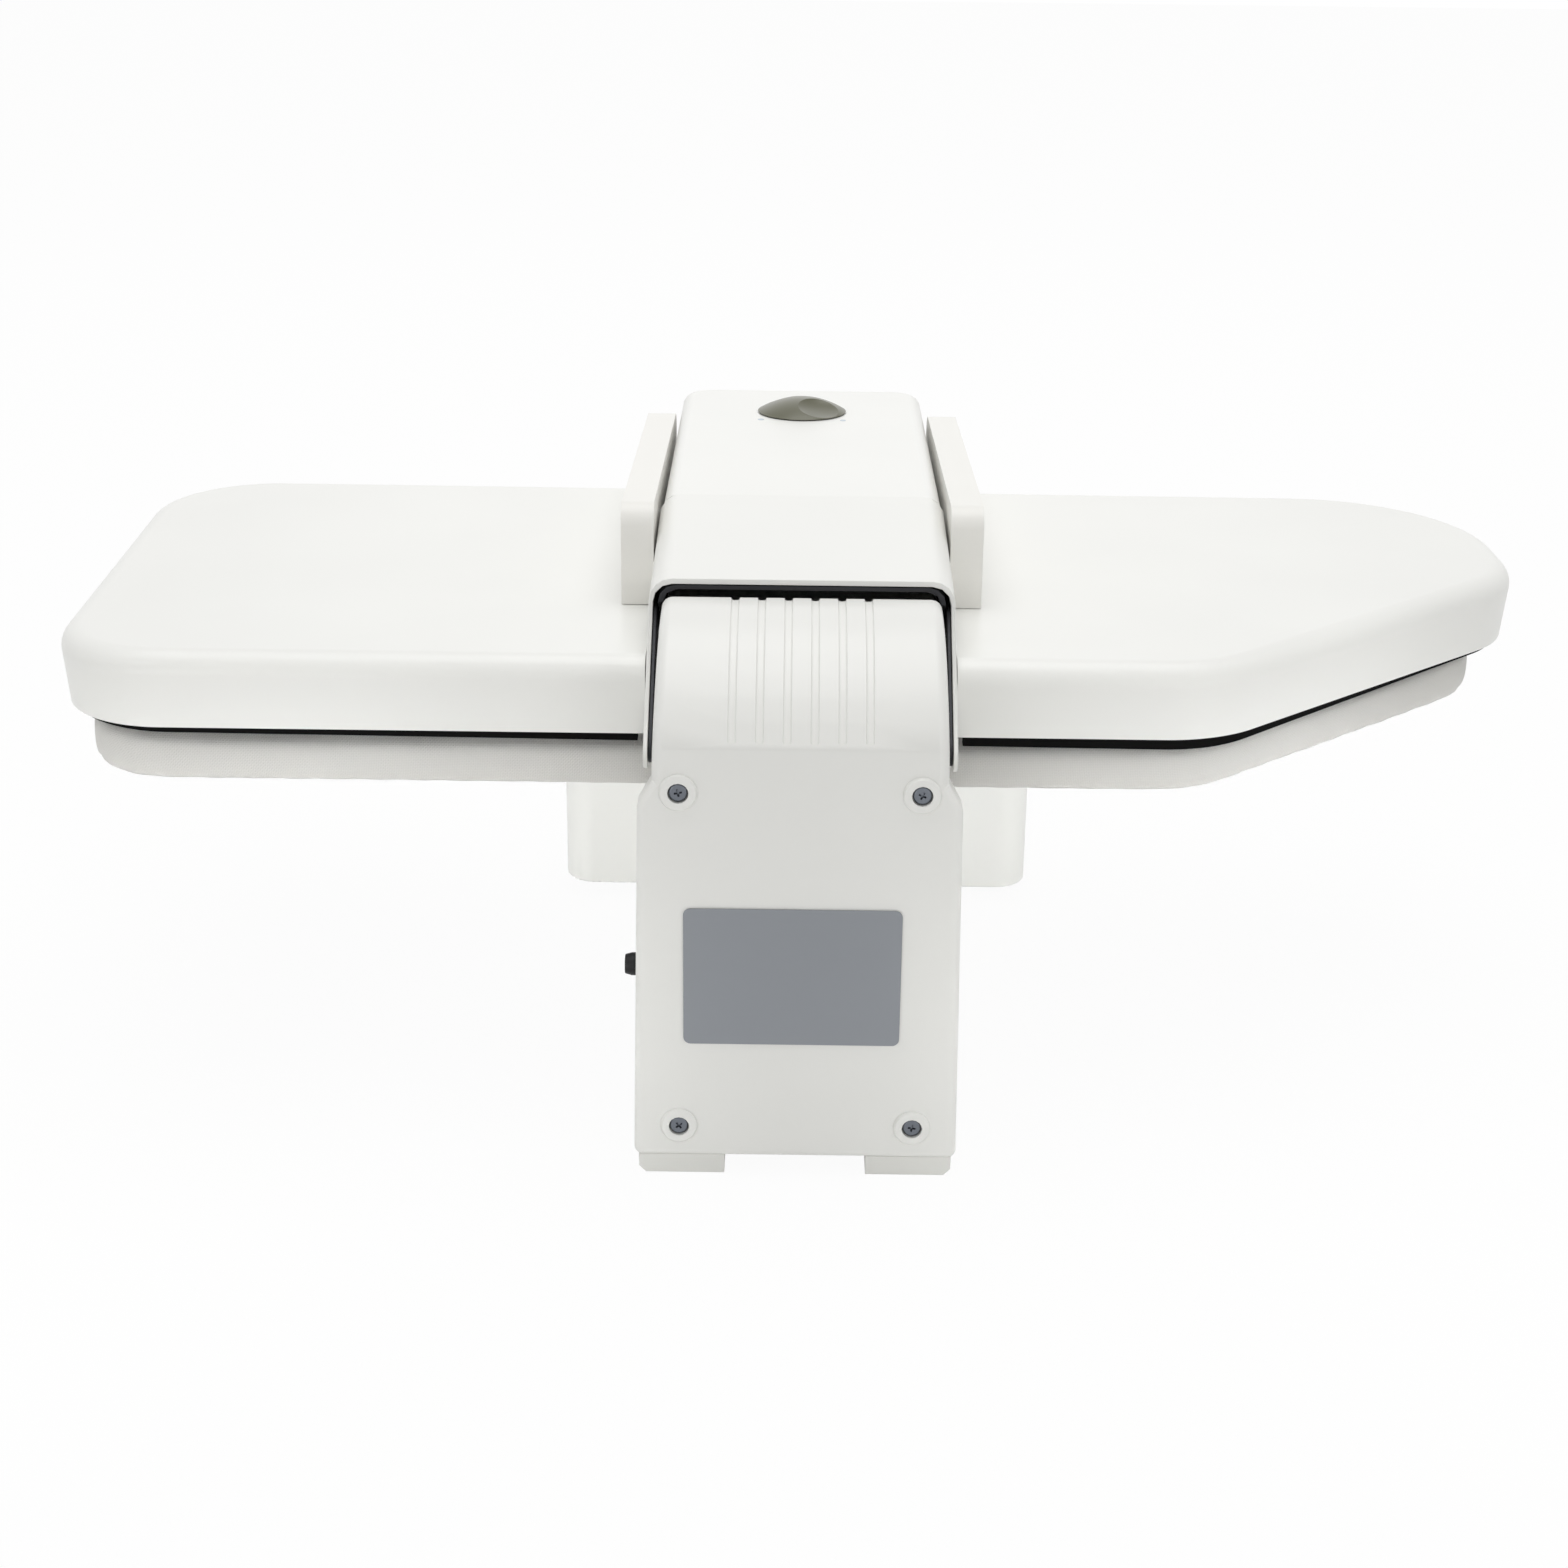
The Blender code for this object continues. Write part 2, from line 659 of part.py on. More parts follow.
def side_edge_facing(edge, direction=UPWARDS, least=CLOSE_SHARE):
    """Whether an edge bounds an X side face and a face that looks in a direction."""
    if len(edge.link_faces) != 2:
        return False
    normals = [face.normal for face in edge.link_faces]
    sides = [normal for normal in normals if abs(normal.x) > SIDE_SHARE]
    others = [normal for normal in normals if abs(normal.x) < ACROSS_SHARE]
    if not sides or not others:
        return False
    return others[0].dot(Vector(direction).normalized()) > least


def smooth(target, limit=math.radians(32.0)):
    target.data.shade_smooth()
    target.data.set_sharp_from_angle(angle=limit)
    return target


def hole(centre, axis, radius, half_length, sides=16):
    """A round cutter."""
    return turned("cutter", [(radius, -half_length), (radius, half_length)],
                  centre, axis, None, sides)


# Upper plate


def build_hood():
    """Hood: a moulded shell with a pocket at the back for the neck of the column."""
    shoulder_z = HOOD_TOP_Z - HOOD_EDGE_ROUND
    outer = [(HOOD_TUCK, HOOD_RIM_Z)]
    outer += quarter_round(0.0, shoulder_z, HOOD_EDGE_ROUND, HOOD_EDGE_ROUND, 4)
    hood = loft("hood", [plan_ring(*place) for place in outer], white_plastic())
    inner_round = HOOD_EDGE_ROUND - HOOD_WALL
    inner = [(HOOD_TUCK + HOOD_WALL, HOOD_RIM_Z - OVERRUN)]
    inner += quarter_round(HOOD_WALL, shoulder_z, inner_round, inner_round, 2)
    room = loft("cutter", [plan_ring(*place) for place in inner], None)
    pocket_floor = PLATE_TOP_Z + SEAT_GAP + POCKET_WALL
    pocket_front = -POCKET_DEPTH
    block = prism("cutter", rectangle(pocket_front - POCKET_WALL, OVERRUN,
                                      pocket_floor - POCKET_WALL, HOOD_TOP_Z + OVERRUN),
                  "x", -POCKET_HALF - POCKET_WALL, POCKET_HALF + POCKET_WALL, None)
    cut(room, block)
    pocket = prism("cutter", rectangle(pocket_front, OVERRUN, pocket_floor,
                                       HOOD_TOP_Z + OVERRUN),
                   "x", -POCKET_HALF, POCKET_HALF, None)
    lip = prism("cutter", rectangle(-POCKET_LIP, OVERRUN, HOOD_RIM_Z - OVERRUN,
                                    HOOD_TOP_Z + OVERRUN),
                "x", -POCKET_HALF, POCKET_HALF, None)
    return smooth(cut(hood, room, pocket, lip))


def steam_hole_places():
    """Centres of the steam holes, staggered row by row about the plate's middle."""
    middle_y = -HOOD_DEPTH / 2
    places = []
    for row in range(STEAM_ROWS):
        shift = STEAM_HOLE_PITCH / 2 if row % 2 else 0.0
        columns = STEAM_COLUMNS - row % 2
        start = HOOD_MID_X - STEAM_HOLE_PITCH * (STEAM_COLUMNS - 1) / 2 + shift
        y = middle_y + STEAM_ROW_PITCH * (row - (STEAM_ROWS - 1) / 2)
        places += [(start + STEAM_HOLE_PITCH * column, y) for column in range(columns)]
    return places


def drill_plate(target, places, low, high, radius, sides):
    """Cut a set of upright holes through a plate in one step."""
    mesh_data = bmesh.new()
    for x, y in places:
        centre = Matrix.Translation(Vector((x, y, (low + high) / 2)))
        bmesh.ops.create_cone(mesh_data, cap_ends=True, segments=sides, radius1=radius,
                              radius2=radius, depth=high - low, matrix=centre)
    return cut(target, make_object("cutter", mesh_data, None))


def build_heating_plate():
    """Cast plate with a rounded sole edge and steam holes."""
    sole = [(PLATE_INSET + PLATE_EDGE_ROUND, PLATE_SOLE_Z),
            (PLATE_INSET, PLATE_SOLE_Z + PLATE_EDGE_ROUND),
            (PLATE_INSET, PLATE_TOP_Z)]
    look = material("plate_coating", (0.045, 0.046, 0.048), 0.35, 0.4)
    plate = loft("heating_plate", [plan_ring(*place) for place in sole], look)
    return drill_plate(plate, steam_hole_places(), PLATE_SOLE_Z - OVERRUN,
                       PLATE_TOP_Z + OVERRUN, STEAM_HOLE_RADIUS, STEAM_HOLE_SIDES)


def build_chamber_lid():
    """Pressed lid over the steam holes: a shallow dish open towards the plate."""
    places = steam_hole_places()
    low_x = min(x for x, _ in places) - CHAMBER_MARGIN
    high_x = max(x for x, _ in places) + CHAMBER_MARGIN
    low_y = min(y for _, y in places) - CHAMBER_MARGIN
    high_y = max(y for _, y in places) + CHAMBER_MARGIN
    base_z = PLATE_TOP_Z + SEAT_GAP
    look = material("chamber_steel", (0.6, 0.6, 0.61), 0.4, 1.0)
    outline = rounded_rectangle(low_x, high_x, low_y, high_y, CHAMBER_CORNER)
    lid = prism("steam_chamber_lid", outline, "z", base_z, base_z + CHAMBER_HEIGHT, look)
    wall = CHAMBER_WALL
    inside = rounded_rectangle(low_x + wall, high_x - wall, low_y + wall, high_y - wall,
                               CHAMBER_CORNER - wall)
    room = prism("cutter", inside, "z", base_z - OVERRUN, base_z + CHAMBER_HEIGHT - wall, None)
    return smooth(cut(lid, room))


def build_element():
    """Tubular heating element: an open loop that follows the plate's outline."""
    low_z = PLATE_TOP_Z + SEAT_GAP + ELEMENT_RADIUS
    outline = [Vector(point) for point in plan_outline(ELEMENT_INSET, ELEMENT_BEND)]
    front_y = min(point.y for point in outline)
    front = [point for point in outline if point.y < front_y + MIN_FILLET]
    start = Vector((HOOD_MID_X + ELEMENT_OPENING / 2, front_y))
    end = Vector((HOOD_MID_X - ELEMENT_OPENING / 2, front_y))
    left = [point for point in front if point.x > start.x]
    first = outline.index(min(left, key=lambda point: point.x))
    ordered = outline[first:] + outline[:first]
    path = [start] + ordered + [end]
    curve = bpy.data.curves.new("heating_element", "CURVE")
    curve.dimensions = "3D"
    curve.bevel_depth = ELEMENT_RADIUS
    curve.bevel_resolution = 1
    curve.use_fill_caps = True
    spline = curve.splines.new("POLY")
    spline.points.add(len(path) - 1)
    for place, point in zip(spline.points, path):
        place.co = (point.x, point.y, low_z, 1.0)
    curve.materials.append(material("element_sheath", (0.25, 0.24, 0.23), 0.45, 0.9))
    element = bpy.data.objects.new("heating_element", curve)
    bpy.context.collection.objects.link(element)
    return element


def build_spacers():
    """Four posts that carry the plate from the hood, in line with the bracket's cheeks."""
    low_z = PLATE_TOP_Z + SEAT_GAP
    high_z = HOOD_TOP_Z - HOOD_WALL - SEAT_GAP
    middle = (CHEEK_INNER + CHEEK_OUTER) / 2
    places = [(side * middle, y) for y in (SPACER_REAR_Y, SPACER_FRONT_Y) for side in (1, -1)]
    spacers = []
    for number, (x, y) in enumerate(places, start=1):
        spacers.append(turned(f"plate_spacer_{number}",
                              [(SPACER_RADIUS, 0.0), (SPACER_RADIUS, high_z - low_z)],
                              (x, y, low_z), (0, 0, 1), bright_steel(), 12))
    return spacers


def build_thermal_cutout():
    """Safety cut-out that sits on the chamber lid."""
    base = (HOOD_MID_X, -HOOD_DEPTH / 2, PLATE_TOP_Z + CHAMBER_HEIGHT + 2 * SEAT_GAP)
    step = CUTOUT_HEIGHT / 3
    profile = [(CUTOUT_RADIUS, 0.0), (CUTOUT_RADIUS, step),
               (CUTOUT_RADIUS - step, step), (CUTOUT_RADIUS - step, CUTOUT_HEIGHT)]
    return turned("thermal_cutout", profile, base, (0, 0, 1),
                  material("ceramic", (0.7, 0.68, 0.6), 0.6), 14)


# Ironing board


def build_pan():
    """Pressed tray under the foam, with vent holes along its middle."""
    edge = BOARD_INSET + COVER_THICKNESS + SEAT_GAP
    floor_z = BOARD_BOTTOM_Z + COVER_THICKNESS + SEAT_GAP
    corner = COVER_LOWER_ROUND - COVER_THICKNESS - SEAT_GAP
    top_z = floor_z + PAN_HEIGHT
    places = [(edge + corner, floor_z),
              (edge + corner * PAN_CORNER_SHARE, floor_z + corner * PAN_CORNER_SHARE),
              (edge, floor_z + corner), (edge, top_z)]
    look = material("pan_steel", (0.42, 0.43, 0.44), 0.45, 0.8)
    pan = loft("board_pan", [board_ring(*place) for place in places], look)
    inside = [(edge + corner + PAN_WALL, floor_z + PAN_WALL),
              (edge + PAN_WALL, floor_z + corner + PAN_WALL),
              (edge + PAN_WALL, top_z + OVERRUN)]
    cut(pan, loft("cutter", [board_ring(*place) for place in inside], None))
    middle_y = -HOOD_DEPTH / 2
    first = PEDESTAL_BOTTOM_HALF + PAN_HOLE_PITCH / 2
    places = [(side * (first + PAN_HOLE_PITCH * step), middle_y)
              for side in (1, -1) for step in range(PAN_HOLES_PER_SIDE)]
    return smooth(drill_plate(pan, places, floor_z - OVERRUN, floor_z + PAN_WALL + OVERRUN,
                              PAN_HOLE_RADIUS, STEAM_HOLE_SIDES))


def cover_places(shift, steps):
    """Insets and levels of the cover's skin, moved inwards by a shift, from hem to crown."""
    side = BOARD_INSET + shift
    low_round = COVER_LOWER_ROUND - shift
    low_z = BOARD_BOTTOM_Z + shift
    high_z = BOARD_TOP_Z - shift
    shoulder = COVER_SHOULDER_WIDTH - shift
    drop = COVER_SHOULDER_DROP - shift
    lower = [(side + low_round * (1 - math.sin(turn)), low_z + low_round * (1 - math.cos(turn)))
             for turn in (math.pi / 2 * step / 3 for step in range(4))]
    upper = quarter_round(side, high_z - drop, shoulder, drop, steps)
    return lower + upper


def build_cover():
    """Fabric cover: crowned on top, drawn in under the board to a hem round an opening."""
    outside = [(HEM_REACH, BOARD_BOTTOM_Z)] + cover_places(0.0, 6)
    inside = [(HEM_REACH, BOARD_BOTTOM_Z + COVER_THICKNESS)] + cover_places(COVER_THICKNESS, 6)
    places = outside[::-1] + inside
    look = material("silver_fabric", (0.60, 0.60, 0.585), 0.75)
    return smooth(loft("board_cover", [board_ring(*place) for place in places], look),
                  math.radians(60.0))


def build_foam():
    """Foam pad: lies in the pan and fills the cover's crown."""
    shift = COVER_THICKNESS + SEAT_GAP
    floor_z = BOARD_BOTTOM_Z + COVER_THICKNESS + 2 * SEAT_GAP + PAN_WALL
    edge = BOARD_INSET + COVER_THICKNESS + 2 * SEAT_GAP + PAN_WALL
    corner = COVER_LOWER_ROUND - COVER_THICKNESS
    crown = quarter_round(edge + FOAM_SIDE_SLOPE, BOARD_TOP_Z - COVER_SHOULDER_DROP,
                          COVER_SHOULDER_WIDTH - shift,
                          COVER_SHOULDER_DROP - shift, 4)
    places = [(edge + corner, floor_z), (edge + FOAM_SIDE_SLOPE, floor_z + corner)] + crown
    look = material("foam", (0.75, 0.72, 0.6), 0.95)
    return smooth(loft("board_foam", [board_ring(*place) for place in places], look),
                  math.radians(60.0))


def build_bracket(name, middle_y):
    """Hat-section bracket between the pedestal and the pan."""
    low = PEDESTAL_TOP_Z + SEAT_GAP
    high = BOARD_BOTTOM_Z + COVER_THICKNESS
    half = BRACKET_WIDTH / 2
    wall = BRACKET_WALL
    flange = half + BRACKET_FLANGE
    outline = [(-flange, low), (-half + wall, low), (-half + wall, high - wall),
               (half - wall, high - wall), (half - wall, low), (flange, low),
               (flange, low + wall), (half, low + wall), (half, high), (-half, high),
               (-half, low + wall), (-flange, low + wall)]
    moved = [(middle_y + a, b) for a, b in outline]
    return prism(name, moved, "x", -BRACKET_HALF, BRACKET_HALF, bright_steel())


# Column


def column_half(height, inset=0.0):
    """Half width of the tapered column at a level."""
    return COLUMN_BOTTOM_HALF - COLUMN_TAPER * (height - COLUMN_BOTTOM_Z) - inset


def neck_arc(radius, steps, first=NECK_LEAN, last=math.pi / 2):
    """Points of the neck's curved top, from the crease forward to its front end."""
    angles = [first + (last - first) * step / steps for step in range(steps + 1)]
    return [(NECK_CENTRE_Y + radius * math.cos(angle), NECK_CENTRE_Z + radius * math.sin(angle))
            for angle in angles]


def taper_neck(target):
    """Lean the neck's sides inwards evenly, so that its top is the narrowest."""
    rise = NECK_TOP_Z - SHOULDER_HIGH_Z
    for vert in target.data.vertices:
        share = (vert.co.z - SHOULDER_HIGH_Z) / rise
        vert.co.x *= 1 - share * NECK_TOP_INSET / NECK_HALF
    return target


def build_rear_cover():
    """Rear cover: flat panel, curved top with six grooves, and four screw bosses."""
    low = COLUMN_BOTTOM_Z
    high = NECK_HALF - SEAT_GAP
    outline = [(-column_half(low), low), (column_half(low), low),
               (column_half(SHOULDER_LOW_Z), SHOULDER_LOW_Z), (high, SHOULDER_HIGH_Z),
               (-high, SHOULDER_HIGH_Z), (-column_half(SHOULDER_LOW_Z), SHOULDER_LOW_Z)]
    corner = COVER_EDGE_ROUND + MIN_FILLET
    corners = [corner, corner, corner * 2, MIN_FILLET, MIN_FILLET, corner * 2]
    rings = []
    round_z = COLUMN_REAR_Y - COVER_EDGE_ROUND
    stations = [(0.0, COVER_SPLIT_Y)]
    stations += quarter_round(0.0, round_z, COVER_EDGE_ROUND, COVER_EDGE_ROUND, 3)
    for inset, y in stations:
        radii = [max(radius - inset, MIN_FILLET) for radius in corners]
        ring = fillet(inset_corners(outline, inset), radii)
        rings.append([Vector((x, y, z)) for x, z in ring])
    cover = loft("rear_cover", rings, white_plastic())

    neck_low = SHOULDER_LOW_Z - COVER_RETURN
    band = [(COVER_SPLIT_Y, neck_low), (COLUMN_REAR_Y, neck_low)]
    band += neck_arc(NECK_TOP_RADIUS, NECK_STEPS)
    band += neck_arc(NECK_TOP_RADIUS - COVER_RETURN, NECK_STEPS)[::-1]
    neck = prism("neck", band, "x", -NECK_HALF, NECK_HALF, None)
    round_edges(neck, NECK_EDGE_ROUND, 4,
                lambda edge: side_edge_facing(edge, OVER_THE_TOP, LOOSE_SHARE))
    unite(cover, taper_neck(neck))

    wall = COVER_WALL
    inner_outline = inset_corners(outline, wall)
    room = prism("cutter", fillet(inner_outline, [corner] * len(inner_outline)), "y",
                 COVER_SPLIT_Y - OVERRUN, COLUMN_REAR_Y - wall, None)
    inner_band = [(COVER_SPLIT_Y - OVERRUN, neck_low), (COLUMN_REAR_Y - wall, neck_low)]
    inner_band += neck_arc(NECK_TOP_RADIUS - wall, NECK_STEPS)
    inner_band += neck_arc(NECK_TOP_RADIUS - COVER_RETURN - OVERRUN, NECK_STEPS)[::-1]
    neck_room = prism("cutter", inner_band, "x", -NECK_HALF + wall, NECK_HALF - wall, None)
    front_wall = prism("cutter", rectangle(NECK_CENTRE_Y - OVERRUN, NECK_CENTRE_Y + wall,
                                           NECK_CENTRE_Z, PIVOT_Z + NECK_TOP_RADIUS),
                       "x", -NECK_HALF, NECK_HALF, None)
    cut(taper_neck(neck_room), front_wall)
    cut(cover, room, neck_room)
    add_bosses(cover)
    cut_grooves(cover)
    return smooth(cover)


def boss_places():
    return [(side * BOSS_HALF_SPACING, z) for z in (BOSS_TOP_Z, BOSS_LOW_Z) for side in (1, -1)]


def add_bosses(cover):
    """Raised bosses with a counterbore for the screw head and a hole for its shank."""
    for x, z in boss_places():
        centre = (x, COLUMN_REAR_Y, z)
        edge = BOSS_RISE / 2
        profile = [(BOSS_RADIUS - edge, -BOSS_WALL_DEPTH), (BOSS_RADIUS, 0.0),
                   (BOSS_RADIUS, BOSS_RISE - edge), (BOSS_RADIUS - edge, BOSS_RISE)]
        unite(cover, turned("boss", profile, centre, (0, 1, 0), None, 20))
        sink = SCREW_SINK + SCREW_HEAD_HEIGHT
        bore = [(BOSS_BORE, BOSS_RISE - sink), (BOSS_BORE, BOSS_RISE + OVERRUN)]
        shank = SCREW_SHANK_RADIUS + SEAT_GAP
        pilot = [(shank, -BOSS_WALL_DEPTH - OVERRUN), (shank, BOSS_RISE)]
        cut(cover, turned("cutter", bore, centre, (0, 1, 0), None, 16),
            turned("cutter", pilot, centre, (0, 1, 0), None, 8))


def cut_grooves(cover):
    """Six upright grooves from the crease over the curved top."""
    turn = OVERRUN / NECK_TOP_RADIUS
    first = NECK_LEAN + turn
    last = math.pi / 2 + turn
    band = neck_arc(NECK_TOP_RADIUS + OVERRUN, NECK_STEPS, first, last)
    band += neck_arc(NECK_TOP_RADIUS - GROOVE_DEPTH, NECK_STEPS, first, last)[::-1]
    for number in range(GROOVE_COUNT):
        middle = GROOVE_PITCH * (number - (GROOVE_COUNT - 1) / 2)
        groove = prism("cutter", band, "x", middle - GROOVE_WIDTH / 2,
                       middle + GROOVE_WIDTH / 2, None)
        round_edges(groove, GROOVE_ROUND, 2,
                    lambda edge: side_edge_facing(edge, INTO_THE_NECK, LOOSE_SHARE))
        cut(cover, groove)


def build_screws():
    """Pan-head screws with a cross recess, sunk in the bosses."""
    screws = []
    for number, (x, z) in enumerate(boss_places(), start=1):
        face = COLUMN_REAR_Y + BOSS_RISE - SCREW_SINK
        seat = face - SCREW_HEAD_HEIGHT + SEAT_GAP
        tip = COLUMN_REAR_Y - BOSS_WALL_DEPTH
        crown = SCREW_HEAD_RADIUS / 3
        profile = [(SCREW_SHANK_RADIUS, tip - face), (SCREW_SHANK_RADIUS, seat - face),
                   (SCREW_HEAD_RADIUS, seat - face), (SCREW_HEAD_RADIUS, -crown / 2),
                   (SCREW_HEAD_RADIUS - crown, 0.0)]
        screw = turned(f"cover_screw_{number}", profile, (x, face, z), (0, 1, 0),
                       dark_steel(), 12)
        long_half = SCREW_CROSS_LENGTH / 2
        wide_half = SCREW_CROSS_WIDTH / 2
        for reach_x, reach_z in ((long_half, wide_half), (wide_half, long_half)):
            slot = rectangle(x - reach_x, x + reach_x, z - reach_z, z + reach_z)
            cut(screw, prism("cutter", slot, "y", face - SCREW_CROSS_DEPTH,
                             face + OVERRUN, None))
        screws.append(screw)
    return screws


def build_rating_plate():
    """Bare grey plate on the rear panel."""
    outline = rounded_rectangle(RATING_CENTRE_X - RATING_WIDTH / 2,
                                RATING_CENTRE_X + RATING_WIDTH / 2,
                                RATING_CENTRE_Z - RATING_HEIGHT / 2,
                                RATING_CENTRE_Z + RATING_HEIGHT / 2, RATING_CORNER)
    face = COLUMN_REAR_Y + SEAT_GAP
    return prism("rating_plate", outline, "y", face, face + RATING_THICKNESS,
                 material("grey_plate", (0.29, 0.31, 0.34), 0.5))


def build_column_shell():
    """Front half of the column: walls, cable window, and the neck that takes the shaft."""
    low = COLUMN_BOTTOM_Z
    back = COVER_SPLIT_Y - SEAT_GAP
    bottom_half = column_half(low, SHELL_INSET)
    top_half = column_half(SHELL_SHOULDER_Z, SHELL_INSET)
    outline = [(-bottom_half, low), (bottom_half, low), (top_half, SHELL_SHOULDER_Z),
               (NECK_HALF, NECK_SHELL_Z), (-NECK_HALF, NECK_SHELL_Z),
               (-top_half, SHELL_SHOULDER_Z)]
    shell = prism("column_shell", outline, "y", COLUMN_FRONT_Y, back, white_plastic())
    arc = neck_arc(NECK_TOP_RADIUS - COVER_RETURN - SEAT_GAP, NECK_STEPS)
    side = [(COLUMN_FRONT_Y, SHELL_SHOULDER_Z), (back, SHELL_SHOULDER_Z), (back, arc[0][1])]
    side += arc + [(arc[-1][0], NECK_UNDERSIDE_Z), (COLUMN_FRONT_Y, NECK_UNDERSIDE_Z)]
    unite(shell, taper_neck(prism("neck", side, "x", -NECK_HALF, NECK_HALF, None)))
    wall = COLUMN_WALL
    inner = [(-bottom_half + wall, low - OVERRUN), (bottom_half - wall, low - OVERRUN),
             (top_half - wall, SHELL_SHOULDER_Z), (NECK_HALF - wall, NECK_SHELL_Z),
             (NECK_HALF - wall, NECK_TOP_Z),
             (-NECK_HALF + wall, NECK_TOP_Z),
             (-NECK_HALF + wall, NECK_SHELL_Z), (-top_half + wall, SHELL_SHOULDER_Z)]
    room = prism("cutter", inner, "y", COLUMN_FRONT_Y + wall, back + OVERRUN, None)
    window_half = CHASSIS_HALF + FRAME_WALL
    window = prism("cutter", rectangle(-window_half, window_half, low - OVERRUN,
                                       CABLE_WINDOW_HEIGHT),
                   "y", COLUMN_FRONT_Y - OVERRUN, COLUMN_FRONT_Y + wall + OVERRUN, None)
    cut(shell, room, window)
    cut(shell, hole((0.0, PIVOT_Y, PIVOT_Z), (1, 0, 0), BUSH_RADIUS + RUN_GAP,
                    NECK_HALF + OVERRUN))
    reach = 2 * COLUMN_WALL + OVERRUN
    switch_x = column_half(SWITCH_Z, SHELL_INSET)
    grommet_x = column_half(GROMMET_Z, SHELL_INSET)
    cut(shell, hole((switch_x, SWITCH_Y, SWITCH_Z), (1, 0, 0),
                    SWITCH_BARREL_RADIUS + SEAT_GAP, reach),
        hole((-grommet_x, GROMMET_Y, GROMMET_Z), (1, 0, 0),
             GROMMET_BARREL_RADIUS + SEAT_GAP, reach))
    return smooth(shell)


def build_column_frame():
    """Upright steel channel that carries the hinge shaft."""
    inner = CHASSIS_HALF + SEAT_GAP
    outer = inner + FRAME_WALL
    back = COLUMN_REAR_Y - FRAME_REAR_GAP
    front = COLUMN_FRONT_Y + FRAME_FRONT_GAP
    outline = [(-outer, front), (-inner, front), (-inner, back - FRAME_WALL),
               (inner, back - FRAME_WALL), (inner, front), (outer, front),
               (outer, back), (-outer, back)]
    low = CHASSIS_Z + CHASSIS_WALL + SEAT_GAP
    frame = prism("column_frame", outline, "z", low, PIVOT_Z + FRAME_TOP_MARGIN, dark_steel())
    return cut(frame, hole((0.0, PIVOT_Y, PIVOT_Z), (1, 0, 0), SHAFT_RADIUS + RUN_GAP,
                           outer + OVERRUN))


def build_chassis():
    """Floor channel from the column to the front of the pedestal."""
    wall = CHASSIS_WALL
    half = CHASSIS_HALF
    low = CHASSIS_Z
    top = low + CHASSIS_FLANGE_HEIGHT
    outline = [(-half, low), (half, low), (half, top), (half - wall, top),
               (half - wall, low + wall), (-half + wall, low + wall),
               (-half + wall, top), (-half, top)]
    front = PEDESTAL_FRONT_Y + PEDESTAL_WALL + SEAT_GAP
    return prism("chassis", outline, "y", front, CHASSIS_REAR_Y, dark_steel())


def build_bushes():
    """Flanged bushes of the hinge shaft, between the column frame and the arm."""
    frame_face = CHASSIS_HALF + SEAT_GAP + FRAME_WALL + SEAT_GAP
    bushes = []
    for name, side in (("hinge_bush_left", 1), ("hinge_bush_right", -1)):
        profile = tube_profile(BUSH_RADIUS, SHAFT_RADIUS + RUN_GAP, 0.0,
                               NECK_HALF + SEAT_GAP - frame_face)
        bushes.append(turned(name, profile, (side * frame_face, PIVOT_Y, PIVOT_Z),
                             (side, 0, 0), material("bush_brass", (0.5, 0.38, 0.16), 0.35, 1.0),
                             16, bored=True))
    return bushes


def build_spring(name, side):
    """Counterbalance spring: a coil with a straight tail at each end."""
    bottom = SPRING_ANCHOR_Z + CRANK_PIN_RADIUS + SEAT_GAP
    top = PIVOT_Z - CRANK_PIN_RADIUS - SEAT_GAP
    low = bottom + SPRING_TAIL
    high = top - SPRING_TAIL
    x = side * SPRING_X
    y = PIVOT_Y + CRANK_RADIUS
    path = [(x, y, bottom), (x, y, bottom + SPRING_TAIL / 2)]
    count = SPRING_TURNS * SPRING_STEPS
    for step in range(count + 1):
        angle = 2 * math.pi * step / SPRING_STEPS
        path.append((x + SPRING_COIL_RADIUS * math.cos(angle),
                     y + SPRING_COIL_RADIUS * math.sin(angle), low + (high - low) * step / count))
    path += [(x, y, top - SPRING_TAIL / 2), (x, y, top)]
    curve = bpy.data.curves.new(name, "CURVE")
    curve.dimensions = "3D"
    curve.bevel_depth = SPRING_WIRE_RADIUS
    curve.bevel_resolution = 1
    curve.use_fill_caps = True
    spline = curve.splines.new("POLY")
    spline.points.add(len(path) - 1)
    for place, point in zip(spline.points, path):
        place.co = (*point, 1.0)
    curve.materials.append(bright_steel())
    spring = bpy.data.objects.new(name, curve)
    bpy.context.collection.objects.link(spring)
    return spring


def build_spring_anchor():
    """Cross rod that holds the lower ends of the springs."""
    half = CHASSIS_HALF
    return turned("spring_anchor", [(CRANK_PIN_RADIUS, -half), (CRANK_PIN_RADIUS, half)],
                  (0.0, PIVOT_Y + CRANK_RADIUS, SPRING_ANCHOR_Z), (1, 0, 0), bright_steel(), 12)


